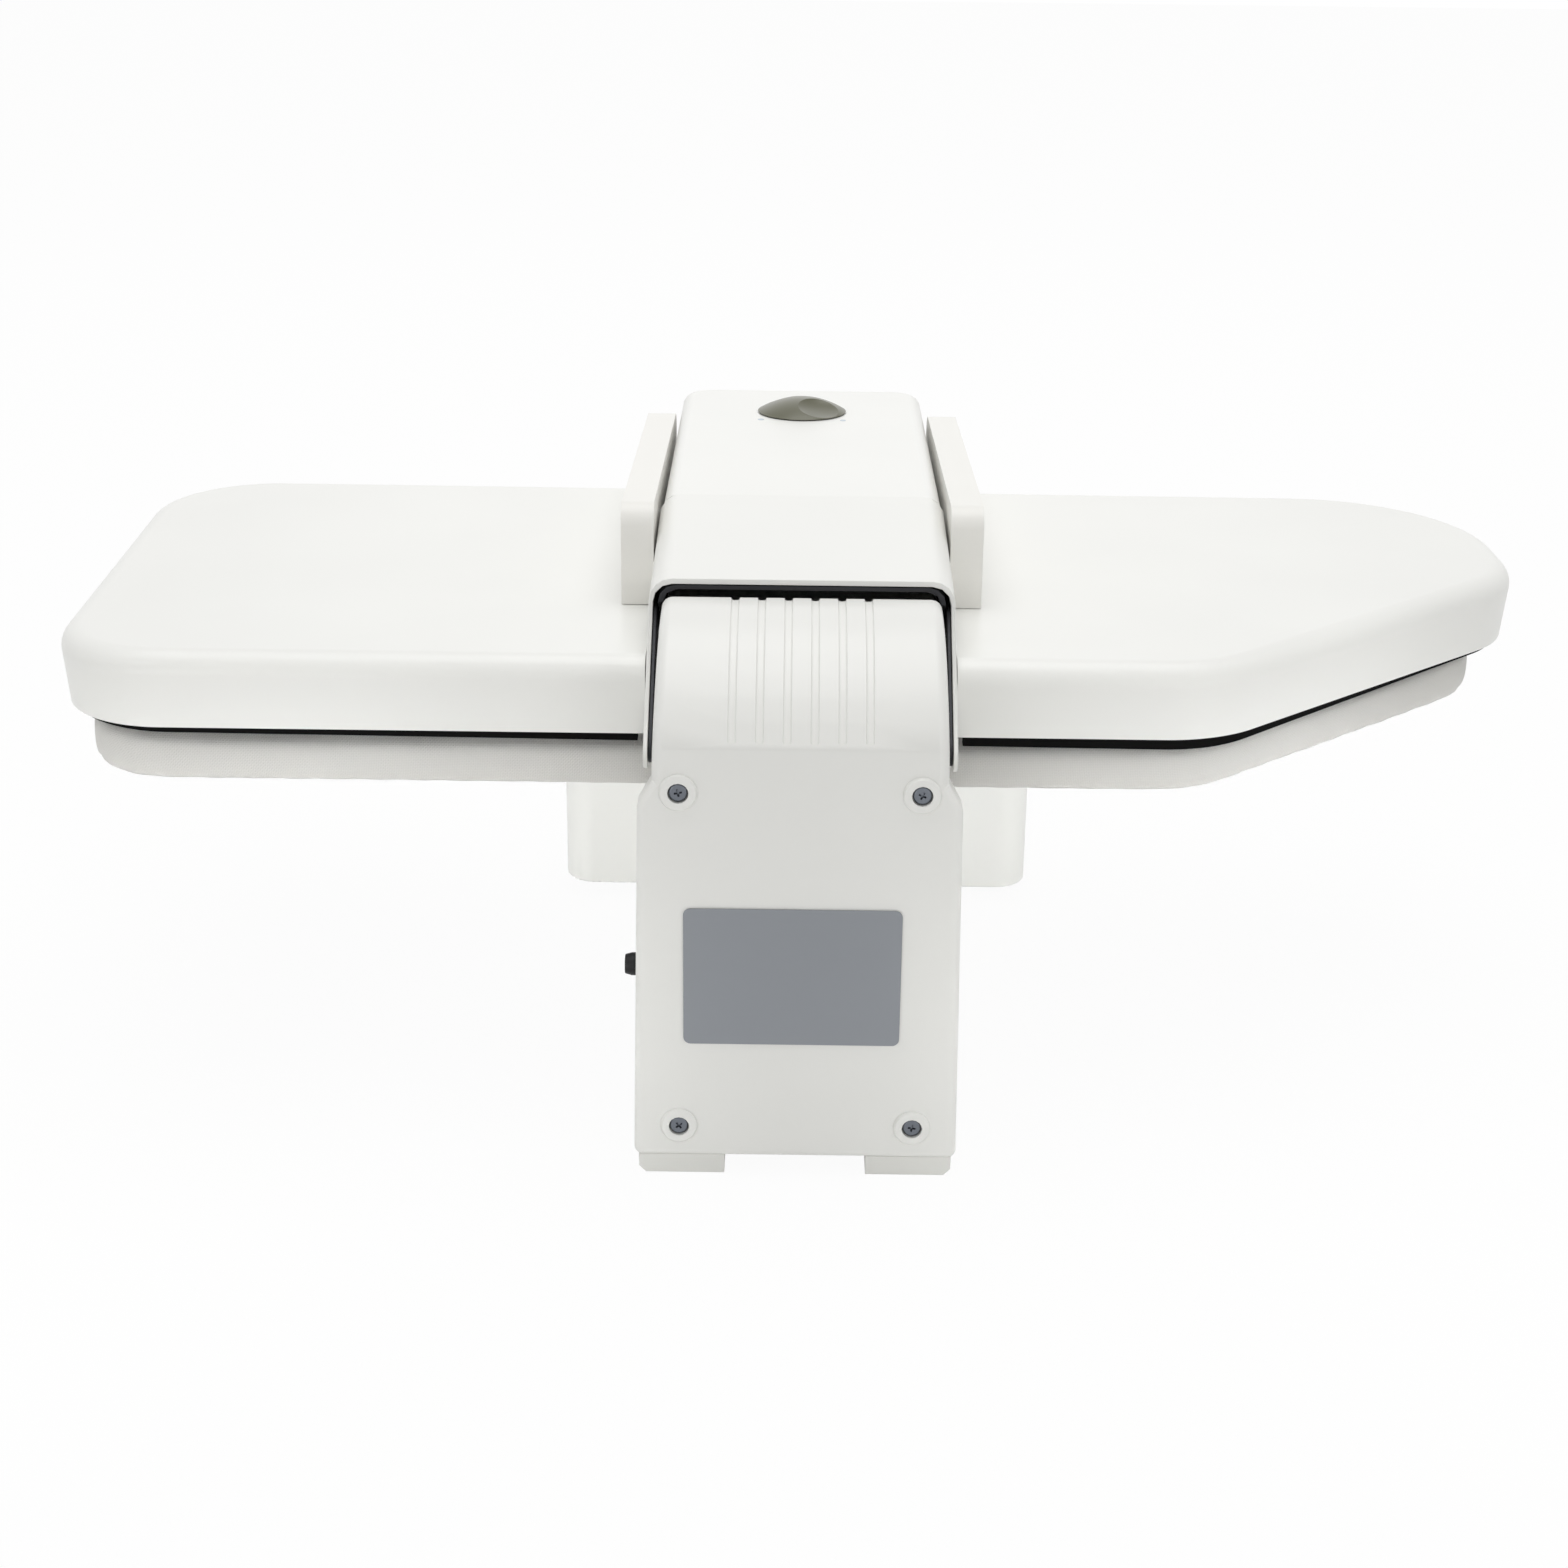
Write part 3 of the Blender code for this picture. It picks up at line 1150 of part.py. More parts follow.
def build_crank():
    """Crank on the hinge shaft: hub, two levers and the pin that the springs pull."""
    centre = (0.0, PIVOT_Y, PIVOT_Z)
    hub = tube_profile(CRANK_HUB_RADIUS, SHAFT_RADIUS + SEAT_GAP, -CRANK_HUB_HALF, CRANK_HUB_HALF)
    crank = turned("spring_crank", hub, centre, (1, 0, 0), dark_steel(), 16, bored=True)
    pin_y = PIVOT_Y + CRANK_RADIUS
    half = 2 * CRANK_PIN_RADIUS
    inner = PIVOT_Y + SHAFT_RADIUS + SEAT_GAP
    bar = rectangle(inner, pin_y + half, PIVOT_Z - half, PIVOT_Z + half)
    shape = fillet(bar, [SHARP, half - MIN_FILLET, half - MIN_FILLET, SHARP])
    thickness = CRANK_LEVER_THICKNESS / 2
    for side in (1, -1):
        middle = side * CRANK_LEVER_X
        unite(crank, prism("lever", shape, "x", middle - thickness, middle + thickness, None))
    pin = turned("pin", [(CRANK_PIN_RADIUS, -CRANK_PIN_HALF), (CRANK_PIN_RADIUS, CRANK_PIN_HALF)],
                 (0.0, pin_y, PIVOT_Z), (1, 0, 0), None, 12)
    unite(crank, pin)
    bore = SHAFT_RADIUS + SEAT_GAP
    return cut(crank, hole(centre, (1, 0, 0), bore, CRANK_HUB_HALF + OVERRUN))


def build_shaft():
    """Hinge shaft, held in both hinge plates of the arm."""
    half = NECK_HALF + 2 * RUN_GAP + HINGE_PLATE_WALL - SEAT_GAP
    return turned("hinge_shaft", [(SHAFT_RADIUS, -half), (SHAFT_RADIUS, half)],
                  (0.0, PIVOT_Y, PIVOT_Z), (1, 0, 0), bright_steel(), 16)


# Base


def build_pedestal():
    """Moulded pedestal between column and front housing, open below and at the back."""
    low = COLUMN_BOTTOM_Z
    front = PEDESTAL_FRONT_Y
    back = PEDESTAL_REAR_Y
    outline = [(-PEDESTAL_BOTTOM_HALF, low), (PEDESTAL_BOTTOM_HALF, low),
               (PEDESTAL_TOP_HALF, PEDESTAL_TOP_Z), (-PEDESTAL_TOP_HALF, PEDESTAL_TOP_Z)]
    rounds = [SHARP, SHARP, PEDESTAL_EDGE_ROUND, PEDESTAL_EDGE_ROUND]
    shell = prism("pedestal", fillet(outline, rounds), "y", front, back, white_plastic())
    wall = PEDESTAL_WALL
    inner = [(-PEDESTAL_BOTTOM_HALF + wall, low - OVERRUN),
             (PEDESTAL_BOTTOM_HALF - wall, low - OVERRUN),
             (PEDESTAL_TOP_HALF - wall, PEDESTAL_TOP_Z - wall),
             (-PEDESTAL_TOP_HALF + wall, PEDESTAL_TOP_Z - wall)]
    room = prism("cutter", inner, "y", front + wall, back + OVERRUN, None)
    stem = hole((0.0, front, VALVE_Z), (0, 1, 0), SEAT_STEM_RADIUS + SEAT_GAP, wall + OVERRUN)
    return smooth(cut(shell, room, stem))


def housing_ring(inset, height):
    corners = rectangle(-HOUSING_HALF + inset, HOUSING_HALF - inset,
                        HOUSING_FRONT_Y + inset, HOUSING_REAR_Y - inset)
    front = max(HOUSING_FRONT_CORNER - inset, MIN_FILLET)
    rear = max(HOUSING_REAR_CORNER - inset, MIN_FILLET)
    return [Vector((x, y, height)) for x, y in fillet(corners, [front, front, rear, rear])]


def build_front_housing():
    """Front housing: rounded block with the bay for the water tank."""
    places = [(HOUSING_FOOT_ROUND, HOUSING_BOTTOM_Z),
              (0.0, HOUSING_BOTTOM_Z + HOUSING_FOOT_ROUND)]
    places += quarter_round(0.0, HOUSING_TOP_Z - HOUSING_TOP_ROUND, HOUSING_TOP_ROUND,
                            HOUSING_TOP_ROUND, 3)
    housing = loft("front_housing", [housing_ring(*place) for place in places],
                   white_plastic())
    bay = prism("cutter", rounded_rectangle(-BAY_HALF, BAY_HALF, BAY_FLOOR_Z, BAY_CEILING_Z,
                                            BAY_CORNER),
                "y", HOUSING_FRONT_Y - OVERRUN, BAY_BACK_Y, None)
    stem = hole((0.0, HOUSING_REAR_Y, VALVE_Z), (0, 1, 0), SEAT_STEM_RADIUS + SEAT_GAP,
                BAY_BACK_WALL + OVERRUN)
    return smooth(cut(housing, bay, stem))


def build_rear_feet():
    """Two feet under the column, each with a chamfer on its outer lower edge."""
    back = COLUMN_REAR_Y - REAR_FOOT_BACK_GAP
    top = COLUMN_BOTTOM_Z - SEAT_GAP
    feet = []
    for name, side in (("rear_foot_left", 1), ("rear_foot_right", -1)):
        outline = [(side * REAR_FOOT_INNER, 0.0),
                   (side * (REAR_FOOT_OUTER - REAR_FOOT_CHAMFER), 0.0),
                   (side * REAR_FOOT_OUTER, REAR_FOOT_CHAMFER), (side * REAR_FOOT_OUTER, top),
                   (side * REAR_FOOT_INNER, top)]
        feet.append(prism(name, outline, "y", REAR_FOOT_FRONT_Y, back, satin_plastic()))
    return feet


def build_front_feet():
    """Two rubber feet under the front housing."""
    top = HOUSING_BOTTOM_Z - SEAT_GAP
    feet = []
    for name, side in (("front_foot_left", 1), ("front_foot_right", -1)):
        profile = [(FRONT_FOOT_RADIUS - FRONT_FOOT_TAPER, 0.0), (FRONT_FOOT_RADIUS, top)]
        feet.append(turned(name, profile, (side * FRONT_FOOT_X, FRONT_FOOT_Y, 0.0), (0, 0, 1),
                           material("foot_rubber", (0.05, 0.05, 0.05), 0.8), 16))
    return feet


def build_tank():
    """Water tank: a drawer with a face, a finger pull and an open top."""
    look = material("tank_plastic", (0.50, 0.58, 0.62), 0.15)
    body = fillet(rectangle(-TANK_HALF, TANK_HALF, TANK_LOW_Z, TANK_BODY_TOP_Z),
                  [BAY_CORNER, BAY_CORNER, TANK_RIM_CORNER, TANK_RIM_CORNER])
    tank = prism("water_tank", body, "y", TANK_FACE_BACK_Y - TANK_WALL, TANK_BACK_Y, look)
    face = rounded_rectangle(-TANK_HALF, TANK_HALF, TANK_LOW_Z, TANK_FACE_TOP_Z, BAY_CORNER)
    unite(tank, prism("face", face, "y", HOUSING_FRONT_Y, TANK_FACE_BACK_Y, None))
    wall = TANK_WALL
    inside = rounded_rectangle(-TANK_HALF + wall, TANK_HALF - wall,
                               HOUSING_FRONT_Y + TANK_FRONT_BLOCK, TANK_BACK_Y - wall,
                               BAY_CORNER)
    room = prism("cutter", inside, "z", TANK_LOW_Z + wall, TANK_BODY_TOP_Z + OVERRUN, None)
    high = TANK_FACE_TOP_Z - PULL_TOP_GAP
    pull = rounded_rectangle(-PULL_HALF, PULL_HALF, high - PULL_HEIGHT, high, PULL_CORNER)
    grip = prism("cutter", pull, "y", HOUSING_FRONT_Y - OVERRUN, HOUSING_FRONT_Y + PULL_DEPTH,
                 None)
    outlet = hole((0.0, TANK_BACK_Y, VALVE_Z), (0, 1, 0), VALVE_BORE, wall + OVERRUN, 10)
    return smooth(cut(tank, room, grip, outlet))


def build_tank_lid():
    """Lid of the tank with its filler opening behind the face."""
    low = TANK_BODY_TOP_Z + SEAT_GAP
    front = TANK_FACE_BACK_Y + SEAT_GAP
    half = TANK_HALF - LID_SIDE_INSET
    outline = rounded_rectangle(-half, half, front, TANK_BACK_Y, BAY_CORNER / 2)
    look = material("tank_lid_plastic", (0.42, 0.48, 0.52), 0.25)
    lid = prism("tank_lid", outline, "z", low, low + LID_THICKNESS, look)
    near = front + FILLER_BACK_Y - FILLER_DEPTH / 2
    filler = rounded_rectangle(-FILLER_HALF, FILLER_HALF, near, near + FILLER_DEPTH,
                               FILLER_DEPTH / 3)
    return smooth(cut(lid, prism("cutter", filler, "z", low - OVERRUN,
                                 low + LID_THICKNESS + OVERRUN, None)))


def build_tank_valve():
    """Outlet valve on the tank's back, facing the seat in the housing."""
    length = TANK_BACK_GAP - SEAT_FLANGE_THICKNESS - 3 * SEAT_GAP
    profile = tube_profile(VALVE_RADIUS, VALVE_BORE, 0.0, length)
    return turned("tank_valve", profile, (0.0, TANK_BACK_Y + SEAT_GAP, VALVE_Z), (0, 1, 0),
                  black_plastic(), 12, bored=True)


def build_inlet_seat():
    """Seat that takes the tank's valve and leads through to the pump."""
    flange_low = BAY_BACK_Y - SEAT_GAP - SEAT_FLANGE_THICKNESS
    stem_end = PEDESTAL_FRONT_Y + PEDESTAL_WALL + BAY_BACK_WALL
    profile = [(VALVE_BORE, flange_low), (SEAT_FLANGE_RADIUS, flange_low),
               (SEAT_FLANGE_RADIUS, BAY_BACK_Y - SEAT_GAP), (SEAT_STEM_RADIUS, BAY_BACK_Y - SEAT_GAP),
               (SEAT_STEM_RADIUS, stem_end), (VALVE_BORE, stem_end)]
    return turned("inlet_seat", profile, (0.0, 0.0, VALVE_Z), (0, 1, 0), black_plastic(), 12,
                  bored=True)


def build_pump():
    """Vibration pump on two saddles on the chassis."""
    stem_end = PEDESTAL_FRONT_Y + PEDESTAL_WALL + BAY_BACK_WALL
    profile = [(SEAT_STEM_RADIUS, stem_end + SEAT_GAP), (SEAT_STEM_RADIUS, PUMP_FRONT_Y),
               (PUMP_NECK_RADIUS, PUMP_FRONT_Y), (PUMP_NECK_RADIUS, PUMP_FRONT_Y + PUMP_NECK_RADIUS),
               (PUMP_RADIUS, PUMP_FRONT_Y + PUMP_NECK_RADIUS), (PUMP_RADIUS, PUMP_REAR_Y),
               (PUMP_NECK_RADIUS, PUMP_REAR_Y), (PUMP_NECK_RADIUS, PUMP_REAR_Y + PUMP_NECK_RADIUS)]
    lift = CHASSIS_Z + CHASSIS_WALL + SEAT_GAP
    pump_z = max(VALVE_Z, lift + PUMP_RADIUS + SEAT_GAP)
    look = material("pump_blue", (0.08, 0.16, 0.28), 0.4)
    pump = turned("water_pump", profile, (0.0, 0.0, pump_z), (0, 1, 0), look, 16)
    for start in (PUMP_FRONT_Y + 2 * PUMP_NECK_RADIUS, PUMP_REAR_Y - 2 * PUMP_NECK_RADIUS):
        saddle = rectangle(-PUMP_SADDLE_HALF, PUMP_SADDLE_HALF, lift, pump_z)
        unite(pump, prism("saddle", saddle, "y", start, start + PUMP_SADDLE_DEPTH, None))
    return pump


def build_control_board():
    """Circuit board on the column frame's web."""
    back = COLUMN_REAR_Y - FRAME_REAR_GAP - FRAME_WALL - SEAT_GAP
    outline = rectangle(-BOARD_PCB_HALF, BOARD_PCB_HALF, BOARD_PCB_LOW_Z,
                        BOARD_PCB_LOW_Z + BOARD_PCB_HEIGHT)
    return prism("control_board", outline, "y", back - BOARD_PCB_THICKNESS, back,
                 material("circuit_green", (0.02, 0.13, 0.05), 0.45))


def build_switch():
    """Mains switch in the column's side wall: flange outside, barrel inside."""
    wall_x = column_half(SWITCH_Z, SHELL_INSET) + SEAT_GAP + SWITCH_FLANGE_RADIUS * COLUMN_TAPER
    bore = BUTTON_RADIUS + RUN_GAP
    profile = [(bore, SWITCH_FLANGE_THICKNESS - SWITCH_BORE_DEPTH),
               (bore, SWITCH_FLANGE_THICKNESS), (SWITCH_FLANGE_RADIUS, SWITCH_FLANGE_THICKNESS),
               (SWITCH_FLANGE_RADIUS, 0.0), (SWITCH_BARREL_RADIUS, 0.0),
               (SWITCH_BARREL_RADIUS, -SWITCH_DEPTH)]
    return turned("mains_switch", profile, (wall_x, SWITCH_Y, SWITCH_Z), (1, 0, 0),
                  black_plastic(), 16)


def build_power_button():
    """Push button of the mains switch: a ribbed stub that narrows towards its tip."""
    wall_x = column_half(SWITCH_Z, SHELL_INSET) + SEAT_GAP + SWITCH_FLANGE_RADIUS * COLUMN_TAPER
    inner = SWITCH_FLANGE_THICKNESS - SWITCH_BORE_DEPTH + BUTTON_TRAVEL + RUN_GAP
    tip = SWITCH_FLANGE_THICKNESS + BUTTON_RISE
    profile = [(BUTTON_RADIUS, inner), (BUTTON_RADIUS, tip - BUTTON_TAPER), (BUTTON_TIP_RADIUS, tip)]
    return turned("power_button", profile, (wall_x, SWITCH_Y, SWITCH_Z), (1, 0, 0),
                  black_plastic(), 16)


def build_grommet():
    """Grommet where the mains cord enters the column."""
    wall_x = column_half(GROMMET_Z, SHELL_INSET) + SEAT_GAP + GROMMET_FLANGE_RADIUS * COLUMN_TAPER
    profile = [(GROMMET_BORE, GROMMET_FLANGE_THICKNESS),
               (GROMMET_FLANGE_RADIUS, GROMMET_FLANGE_THICKNESS), (GROMMET_FLANGE_RADIUS, 0.0),
               (GROMMET_BARREL_RADIUS, 0.0), (GROMMET_BARREL_RADIUS, -GROMMET_DEPTH),
               (GROMMET_BORE, -GROMMET_DEPTH)]
    return turned("cord_grommet", profile, (-wall_x, GROMMET_Y, GROMMET_Z), (-1, 0, 0),
                  black_plastic(), 16, bored=True)


# Arm


def arm_side(inset, front_y, front_top):
    """Side outline of the arm's back part, moved inwards by an inset."""
    low = HOOD_TOP_Z + ARM_HOOD_GAP + inset
    notch_y = SKIRT_NOTCH_Y + inset
    skirt_y = SKIRT_FRONT_GAP + inset
    corners = [(front_y, low), (notch_y, low), (notch_y, SKIRT_NOTCH_Z + inset),
               (skirt_y, SKIRT_NOTCH_Z + inset), (skirt_y, SKIRT_BOTTOM_Z + inset),
               (SKIRT_REAR_Y - 2 * inset, SKIRT_BOTTOM_Z + inset),
               (COVER_REAR_Y, COVER_REAR_SIDE_Z - 2 * inset)]
    radii = [SHARP, SHARP, SHARP, SHARP, SHARP, SKIRT_CORNER, SHARP]
    if inset <= SHARP:
        corners.append((COVER_REAR_Y, COVER_REAR_Z))
        radii.append(SHARP)
    corners.append((front_y, front_top))
    radii.append(SHARP)
    return fillet(corners, radii)


def build_arm_cover():
    """Cover over the back of the arm: a channel whose skirts reach down beside the neck."""
    front_y = SEAM_Y
    cover = prism("arm_cover", arm_side(0.0, front_y, SEAM_Z), "x", -COVER_HALF, COVER_HALF,
                  white_plastic())
    round_edges(cover, COVER_TOP_ROUND, 4,
                lambda edge: side_edge_facing(edge)
                and edge.verts[0].co.z > COVER_REAR_SIDE_Z)
    half = COVER_HALF - COVER_SIDE_WALL
    reach = COVER_TOP_WALL / math.cos(math.atan(COVER_SLOPE))
    back = SKIRT_REAR_Y + OVERRUN
    slope = COVER_SLOPE
    inner = [(front_y - OVERRUN, SKIRT_BOTTOM_Z - OVERRUN), (back, SKIRT_BOTTOM_Z - OVERRUN),
             (back, COVER_REAR_Z - reach - slope * (back - COVER_REAR_Y)),
             (front_y - OVERRUN, SEAM_Z - reach + slope * OVERRUN)]
    room = prism("cutter", inner, "x", -half, half, None)
    round_edges(room, COVER_TOP_ROUND - COVER_SIDE_WALL, 3,
                lambda edge: side_edge_facing(edge))
    return smooth(cut(cover, room))


def build_hinge_plates():
    """Steel plates inside the skirts that hang the arm on the hinge shaft."""
    top_gap = COVER_TOP_WALL + COVER_TOP_ROUND
    front = HINGE_PLATE_FRONT_Y
    front_top = COVER_REAR_Z + COVER_SLOPE * (COVER_REAR_Y - front) - top_gap
    outline = arm_side(HINGE_PLATE_MARGIN, front, front_top)
    inner = NECK_HALF + 2 * RUN_GAP
    plates = []
    for name, side in (("hinge_plate_left", 1), ("hinge_plate_right", -1)):
        edges = sorted((side * inner, side * (inner + HINGE_PLATE_WALL)))
        plate = prism(name, outline, "x", edges[0], edges[1], dark_steel())
        plates.append(cut(plate, hole((0.0, PIVOT_Y, PIVOT_Z), (1, 0, 0),
                                      SHAFT_RADIUS + SEAT_GAP, COVER_HALF)))
    return plates


def box_top(y):
    """Level of the control box's top at a depth."""
    return BOX_REAR_TOP_Z - BOX_SLOPE * (BOX_REAR_Y - y)


def box_bottom(y):
    """Level of the control box's underside at a depth."""
    return BOX_REAR_BOTTOM_Z + BOX_BOTTOM_SLOPE * (BOX_REAR_Y - y)


def build_arm_frame():
    """Steel channel that runs along the arm into the handle."""
    outer = NECK_HALF + 2 * RUN_GAP - SEAT_GAP
    outer = min(outer, BOX_HALF - BOX_WALL - SEAT_GAP)
    wall = ARM_FRAME_WALL
    rear = ARM_FRAME_REAR_Y
    front = ARM_FRAME_FRONT_Y
    top_gap = COVER_TOP_WALL + 2 * SEAT_GAP
    rear_top = COVER_REAR_Z + COVER_SLOPE * (COVER_REAR_Y - rear) - top_gap
    base_gap = BOX_BASE_THICKNESS + FRAME_BASE_GAP
    low = [(front, box_bottom(front) + base_gap), (SEAM_Y, box_bottom(SEAM_Y) + base_gap),
           (ARM_FRAME_SLANT_Y, NECK_UNDERSIDE_Z + base_gap), (rear, ARM_FRAME_SLANT_Z)]
    high = [(rear, rear_top), (SEAM_Y, SEAM_Z - BOX_STEP - top_gap),
            (front, box_top(front) - top_gap)]
    frame = prism("arm_frame", low + high, "x", -outer, outer, dark_steel())
    round_edges(frame, COVER_TOP_ROUND - COVER_SIDE_WALL, 3,
                lambda edge: side_edge_facing(edge))
    reach = OVERRUN
    room = [(front - reach, low[2][1] - reach), (rear + reach, low[2][1] - reach),
            (rear + reach, rear_top - wall - COVER_SLOPE * reach),
            (SEAM_Y, high[1][1] - wall), (front - reach, high[2][1] - wall - BOX_SLOPE * reach)]
    inside = prism("cutter", room, "x", -outer + wall, outer - wall, None)
    round_edges(inside, COVER_TOP_ROUND - COVER_SIDE_WALL - wall, 2,
                lambda edge: side_edge_facing(edge))
    cut(frame, inside)
    return smooth(cut(frame, hole((0.0, TILT_Y, TILT_Z), (1, 0, 0), TILT_PIN_RADIUS + RUN_GAP,
                                  outer + OVERRUN)))


def box_plan(inset, rear_shift):
    """Plan outline of the control box; its sides and front are moved inwards by an inset."""
    corners = rectangle(-BOX_HALF + inset, BOX_HALF - inset, FRONT_Y + inset,
                        BOX_REAR_Y + rear_shift)
    front = max(BOX_PLAN_CORNER - inset, MIN_FILLET)
    return fillet(corners, [front, front, SHARP, SHARP])


def box_ring(inset, rear_shift, level, shift):
    """Ring round the control box that follows a sloping level at a distance."""
    return [Vector((x, y, level(y) + shift)) for x, y in box_plan(inset, rear_shift)]


def build_control_box():
    """Front of the arm: control box and handle in one moulding, open below."""
    chin = BOX_CHIN_ROUND
    roll = BOX_TOP_ROUND
    rings = [box_ring(chin, 0.0, box_bottom, 0.0), box_ring(0.0, 0.0, box_bottom, chin)]
    rings += [box_ring(inset, 0.0, box_top, drop - roll)
              for inset, drop in quarter_round(0.0, 0.0, roll, roll, 4)]
    box = loft("control_box", rings, white_plastic())
    wall = BOX_WALL
    inner_roll = roll - wall
    rings = [box_ring(wall, OVERRUN, box_bottom, -OVERRUN)]
    rings += [box_ring(inset, OVERRUN, box_top, drop - roll)
              for inset, drop in quarter_round(wall, 0.0, inner_roll, inner_roll, 3)]
    cut(box, loft("cutter", rings, None))
    cut(box, hole(dial_seat(), dial_axis(), DIAL_STEM_RADIUS + RUN_GAP, 2 * wall))
    gap = RUN_GAP
    window = rounded_rectangle(-STEAM_BUTTON_HALF - gap, STEAM_BUTTON_HALF + gap,
                               STEAM_BUTTON_Z - STEAM_BUTTON_HEIGHT / 2 - gap,
                               STEAM_BUTTON_Z + STEAM_BUTTON_HEIGHT / 2 + gap,
                               STEAM_BUTTON_CORNER + gap)
    cut(box, prism("cutter", window, "y", FRONT_Y - OVERRUN, FRONT_Y + wall + OVERRUN, None))
    for side in (1, -1):
        cut(box, hole((side * LAMP_X, FRONT_Y, STEAM_BUTTON_Z), (0, 1, 0),
                      LAMP_RADIUS + SEAT_GAP, wall + OVERRUN, 12))
    cut(box, hole((0.0, TILT_Y, TILT_Z), (1, 0, 0), TILT_PIN_RADIUS + RUN_GAP,
                  BOX_HALF + OVERRUN))
    return smooth(box)


def build_box_base():
    """Plate that closes the underside of the control box."""
    inset = BOX_WALL + SEAT_GAP
    rings = [box_ring(inset, -SEAT_GAP, box_bottom, lift)
             for lift in (SEAT_GAP, SEAT_GAP + BOX_BASE_THICKNESS)]
    return loft("box_base", rings, satin_plastic())


def dial_axis():
    """Direction of the dial's stem, square to the sloping top."""
    return Vector((0.0, -BOX_SLOPE, 1.0)).normalized()


def dial_seat():
    """Point on the sloping top where the dial stands."""
    return Vector((0.0, DIAL_Y, box_top(DIAL_Y)))


def build_dial():
    """Temperature dial: a low dome with two finger scoops that leave a slanting fin."""
    axis = dial_axis()
    seat = dial_seat() + axis * DIAL_LIFT
    rise = DIAL_HEIGHT - DIAL_SKIRT_HEIGHT
    turns = [math.pi / 2 * step / 6 for step in range(6)]
    profile = [(DIAL_RADIUS, 0.0)]
    profile += [(DIAL_RADIUS * math.cos(turn), DIAL_SKIRT_HEIGHT + rise * math.sin(turn))
                for turn in turns]
    profile.append((DIAL_RADIUS * DIAL_CROWN_SHARE, DIAL_HEIGHT))
    look = material("dial_grey", (0.52, 0.51, 0.44), 0.35, 0.2)
    dial = turned("temperature_dial", profile, seat, axis, look, 32)
    along = Vector((math.cos(DIAL_FIN_ANGLE), math.sin(DIAL_FIN_ANGLE), 0.0))
    across = Vector((-along.y, along.x, 0.0))
    turn = axis.to_track_quat("Z", "Y").to_matrix().to_4x4()
    for side in (1, -1):
        spot = across * side * (DIAL_SCOOP_RADIUS + DIAL_FIN_WIDTH / 2)
        spot += along * side * DIAL_SCOOP_SHIFT
        lift = DIAL_SKIRT_HEIGHT + DIAL_SCOOP_RADIUS * DIAL_SCOOP_FLATTEN_SHARE
        mesh_data = bmesh.new()
        bmesh.ops.create_uvsphere(mesh_data, u_segments=20, v_segments=10,
                                  radius=DIAL_SCOOP_RADIUS)
        squash = Matrix.Diagonal((1.0, 1.0, DIAL_SCOOP_FLATTEN_SHARE, 1.0))
        place = Matrix.Translation(seat) @ turn @ Matrix.Translation(spot + Vector((0, 0, lift)))
        bmesh.ops.transform(mesh_data, matrix=place @ squash, verts=mesh_data.verts)
        cut(dial, make_object("cutter", mesh_data, None))
    stem = [(DIAL_STEM_RADIUS, -DIAL_STEM_LENGTH), (DIAL_STEM_RADIUS, DIAL_SKIRT_HEIGHT / 2)]
    unite(dial, turned("stem", stem, seat, axis, None, 12))
    return smooth(dial)


def build_thermostat():
    """Thermostat under the box's top, with a bore for the dial's stem."""
    axis = dial_axis()
    top = dial_seat() - axis * (BOX_WALL + 2 * SEAT_GAP)
    bore = DIAL_STEM_RADIUS + RUN_GAP
    profile = tube_profile(THERMOSTAT_RADIUS, bore, -THERMOSTAT_HEIGHT, 0.0)
    look = material("thermostat_body", (0.6, 0.58, 0.5), 0.5)
    return turned("thermostat", profile, top, axis, look, 20, bored=True)


def build_steam_button():
    """Steam button in the front end of the handle."""
    outline = rounded_rectangle(-STEAM_BUTTON_HALF, STEAM_BUTTON_HALF,
                                STEAM_BUTTON_Z - STEAM_BUTTON_HEIGHT / 2,
                                STEAM_BUTTON_Z + STEAM_BUTTON_HEIGHT / 2, STEAM_BUTTON_CORNER)
    return smooth(prism("steam_button", outline, "y", FRONT_Y, FRONT_Y + STEAM_BUTTON_DEPTH,
                        material("button_grey", (0.33, 0.34, 0.35), 0.4)))


def build_lamps():
    """Power and ready lamps beside the steam button."""
    looks = (("lamp_power", 1, (0.6, 0.05, 0.04)), ("lamp_ready", -1, (0.05, 0.45, 0.10)))
    lamps = []
    for name, side, colour in looks:
        profile = [(LAMP_RADIUS, SEAT_GAP), (LAMP_RADIUS, LAMP_DEPTH)]
        lamps.append(turned(name, profile, (side * LAMP_X, FRONT_Y, STEAM_BUTTON_Z), (0, 1, 0),
                            material(name, colour, 0.15), 12))
    return lamps


def lean_cheek(cheek):
    """Narrow a cheek towards the front by moving its outer face inwards."""
    length = CHEEK_REAR_Y - CHEEK_FRONT_Y
    for vert in cheek.data.vertices:
        along = (CHEEK_REAR_Y - vert.co.y) / length
        across = (abs(vert.co.x) - CHEEK_INNER) / (CHEEK_OUTER - CHEEK_INNER)
        vert.co.x -= math.copysign(along * across * CHEEK_LEAN, vert.co.x)
    return cheek


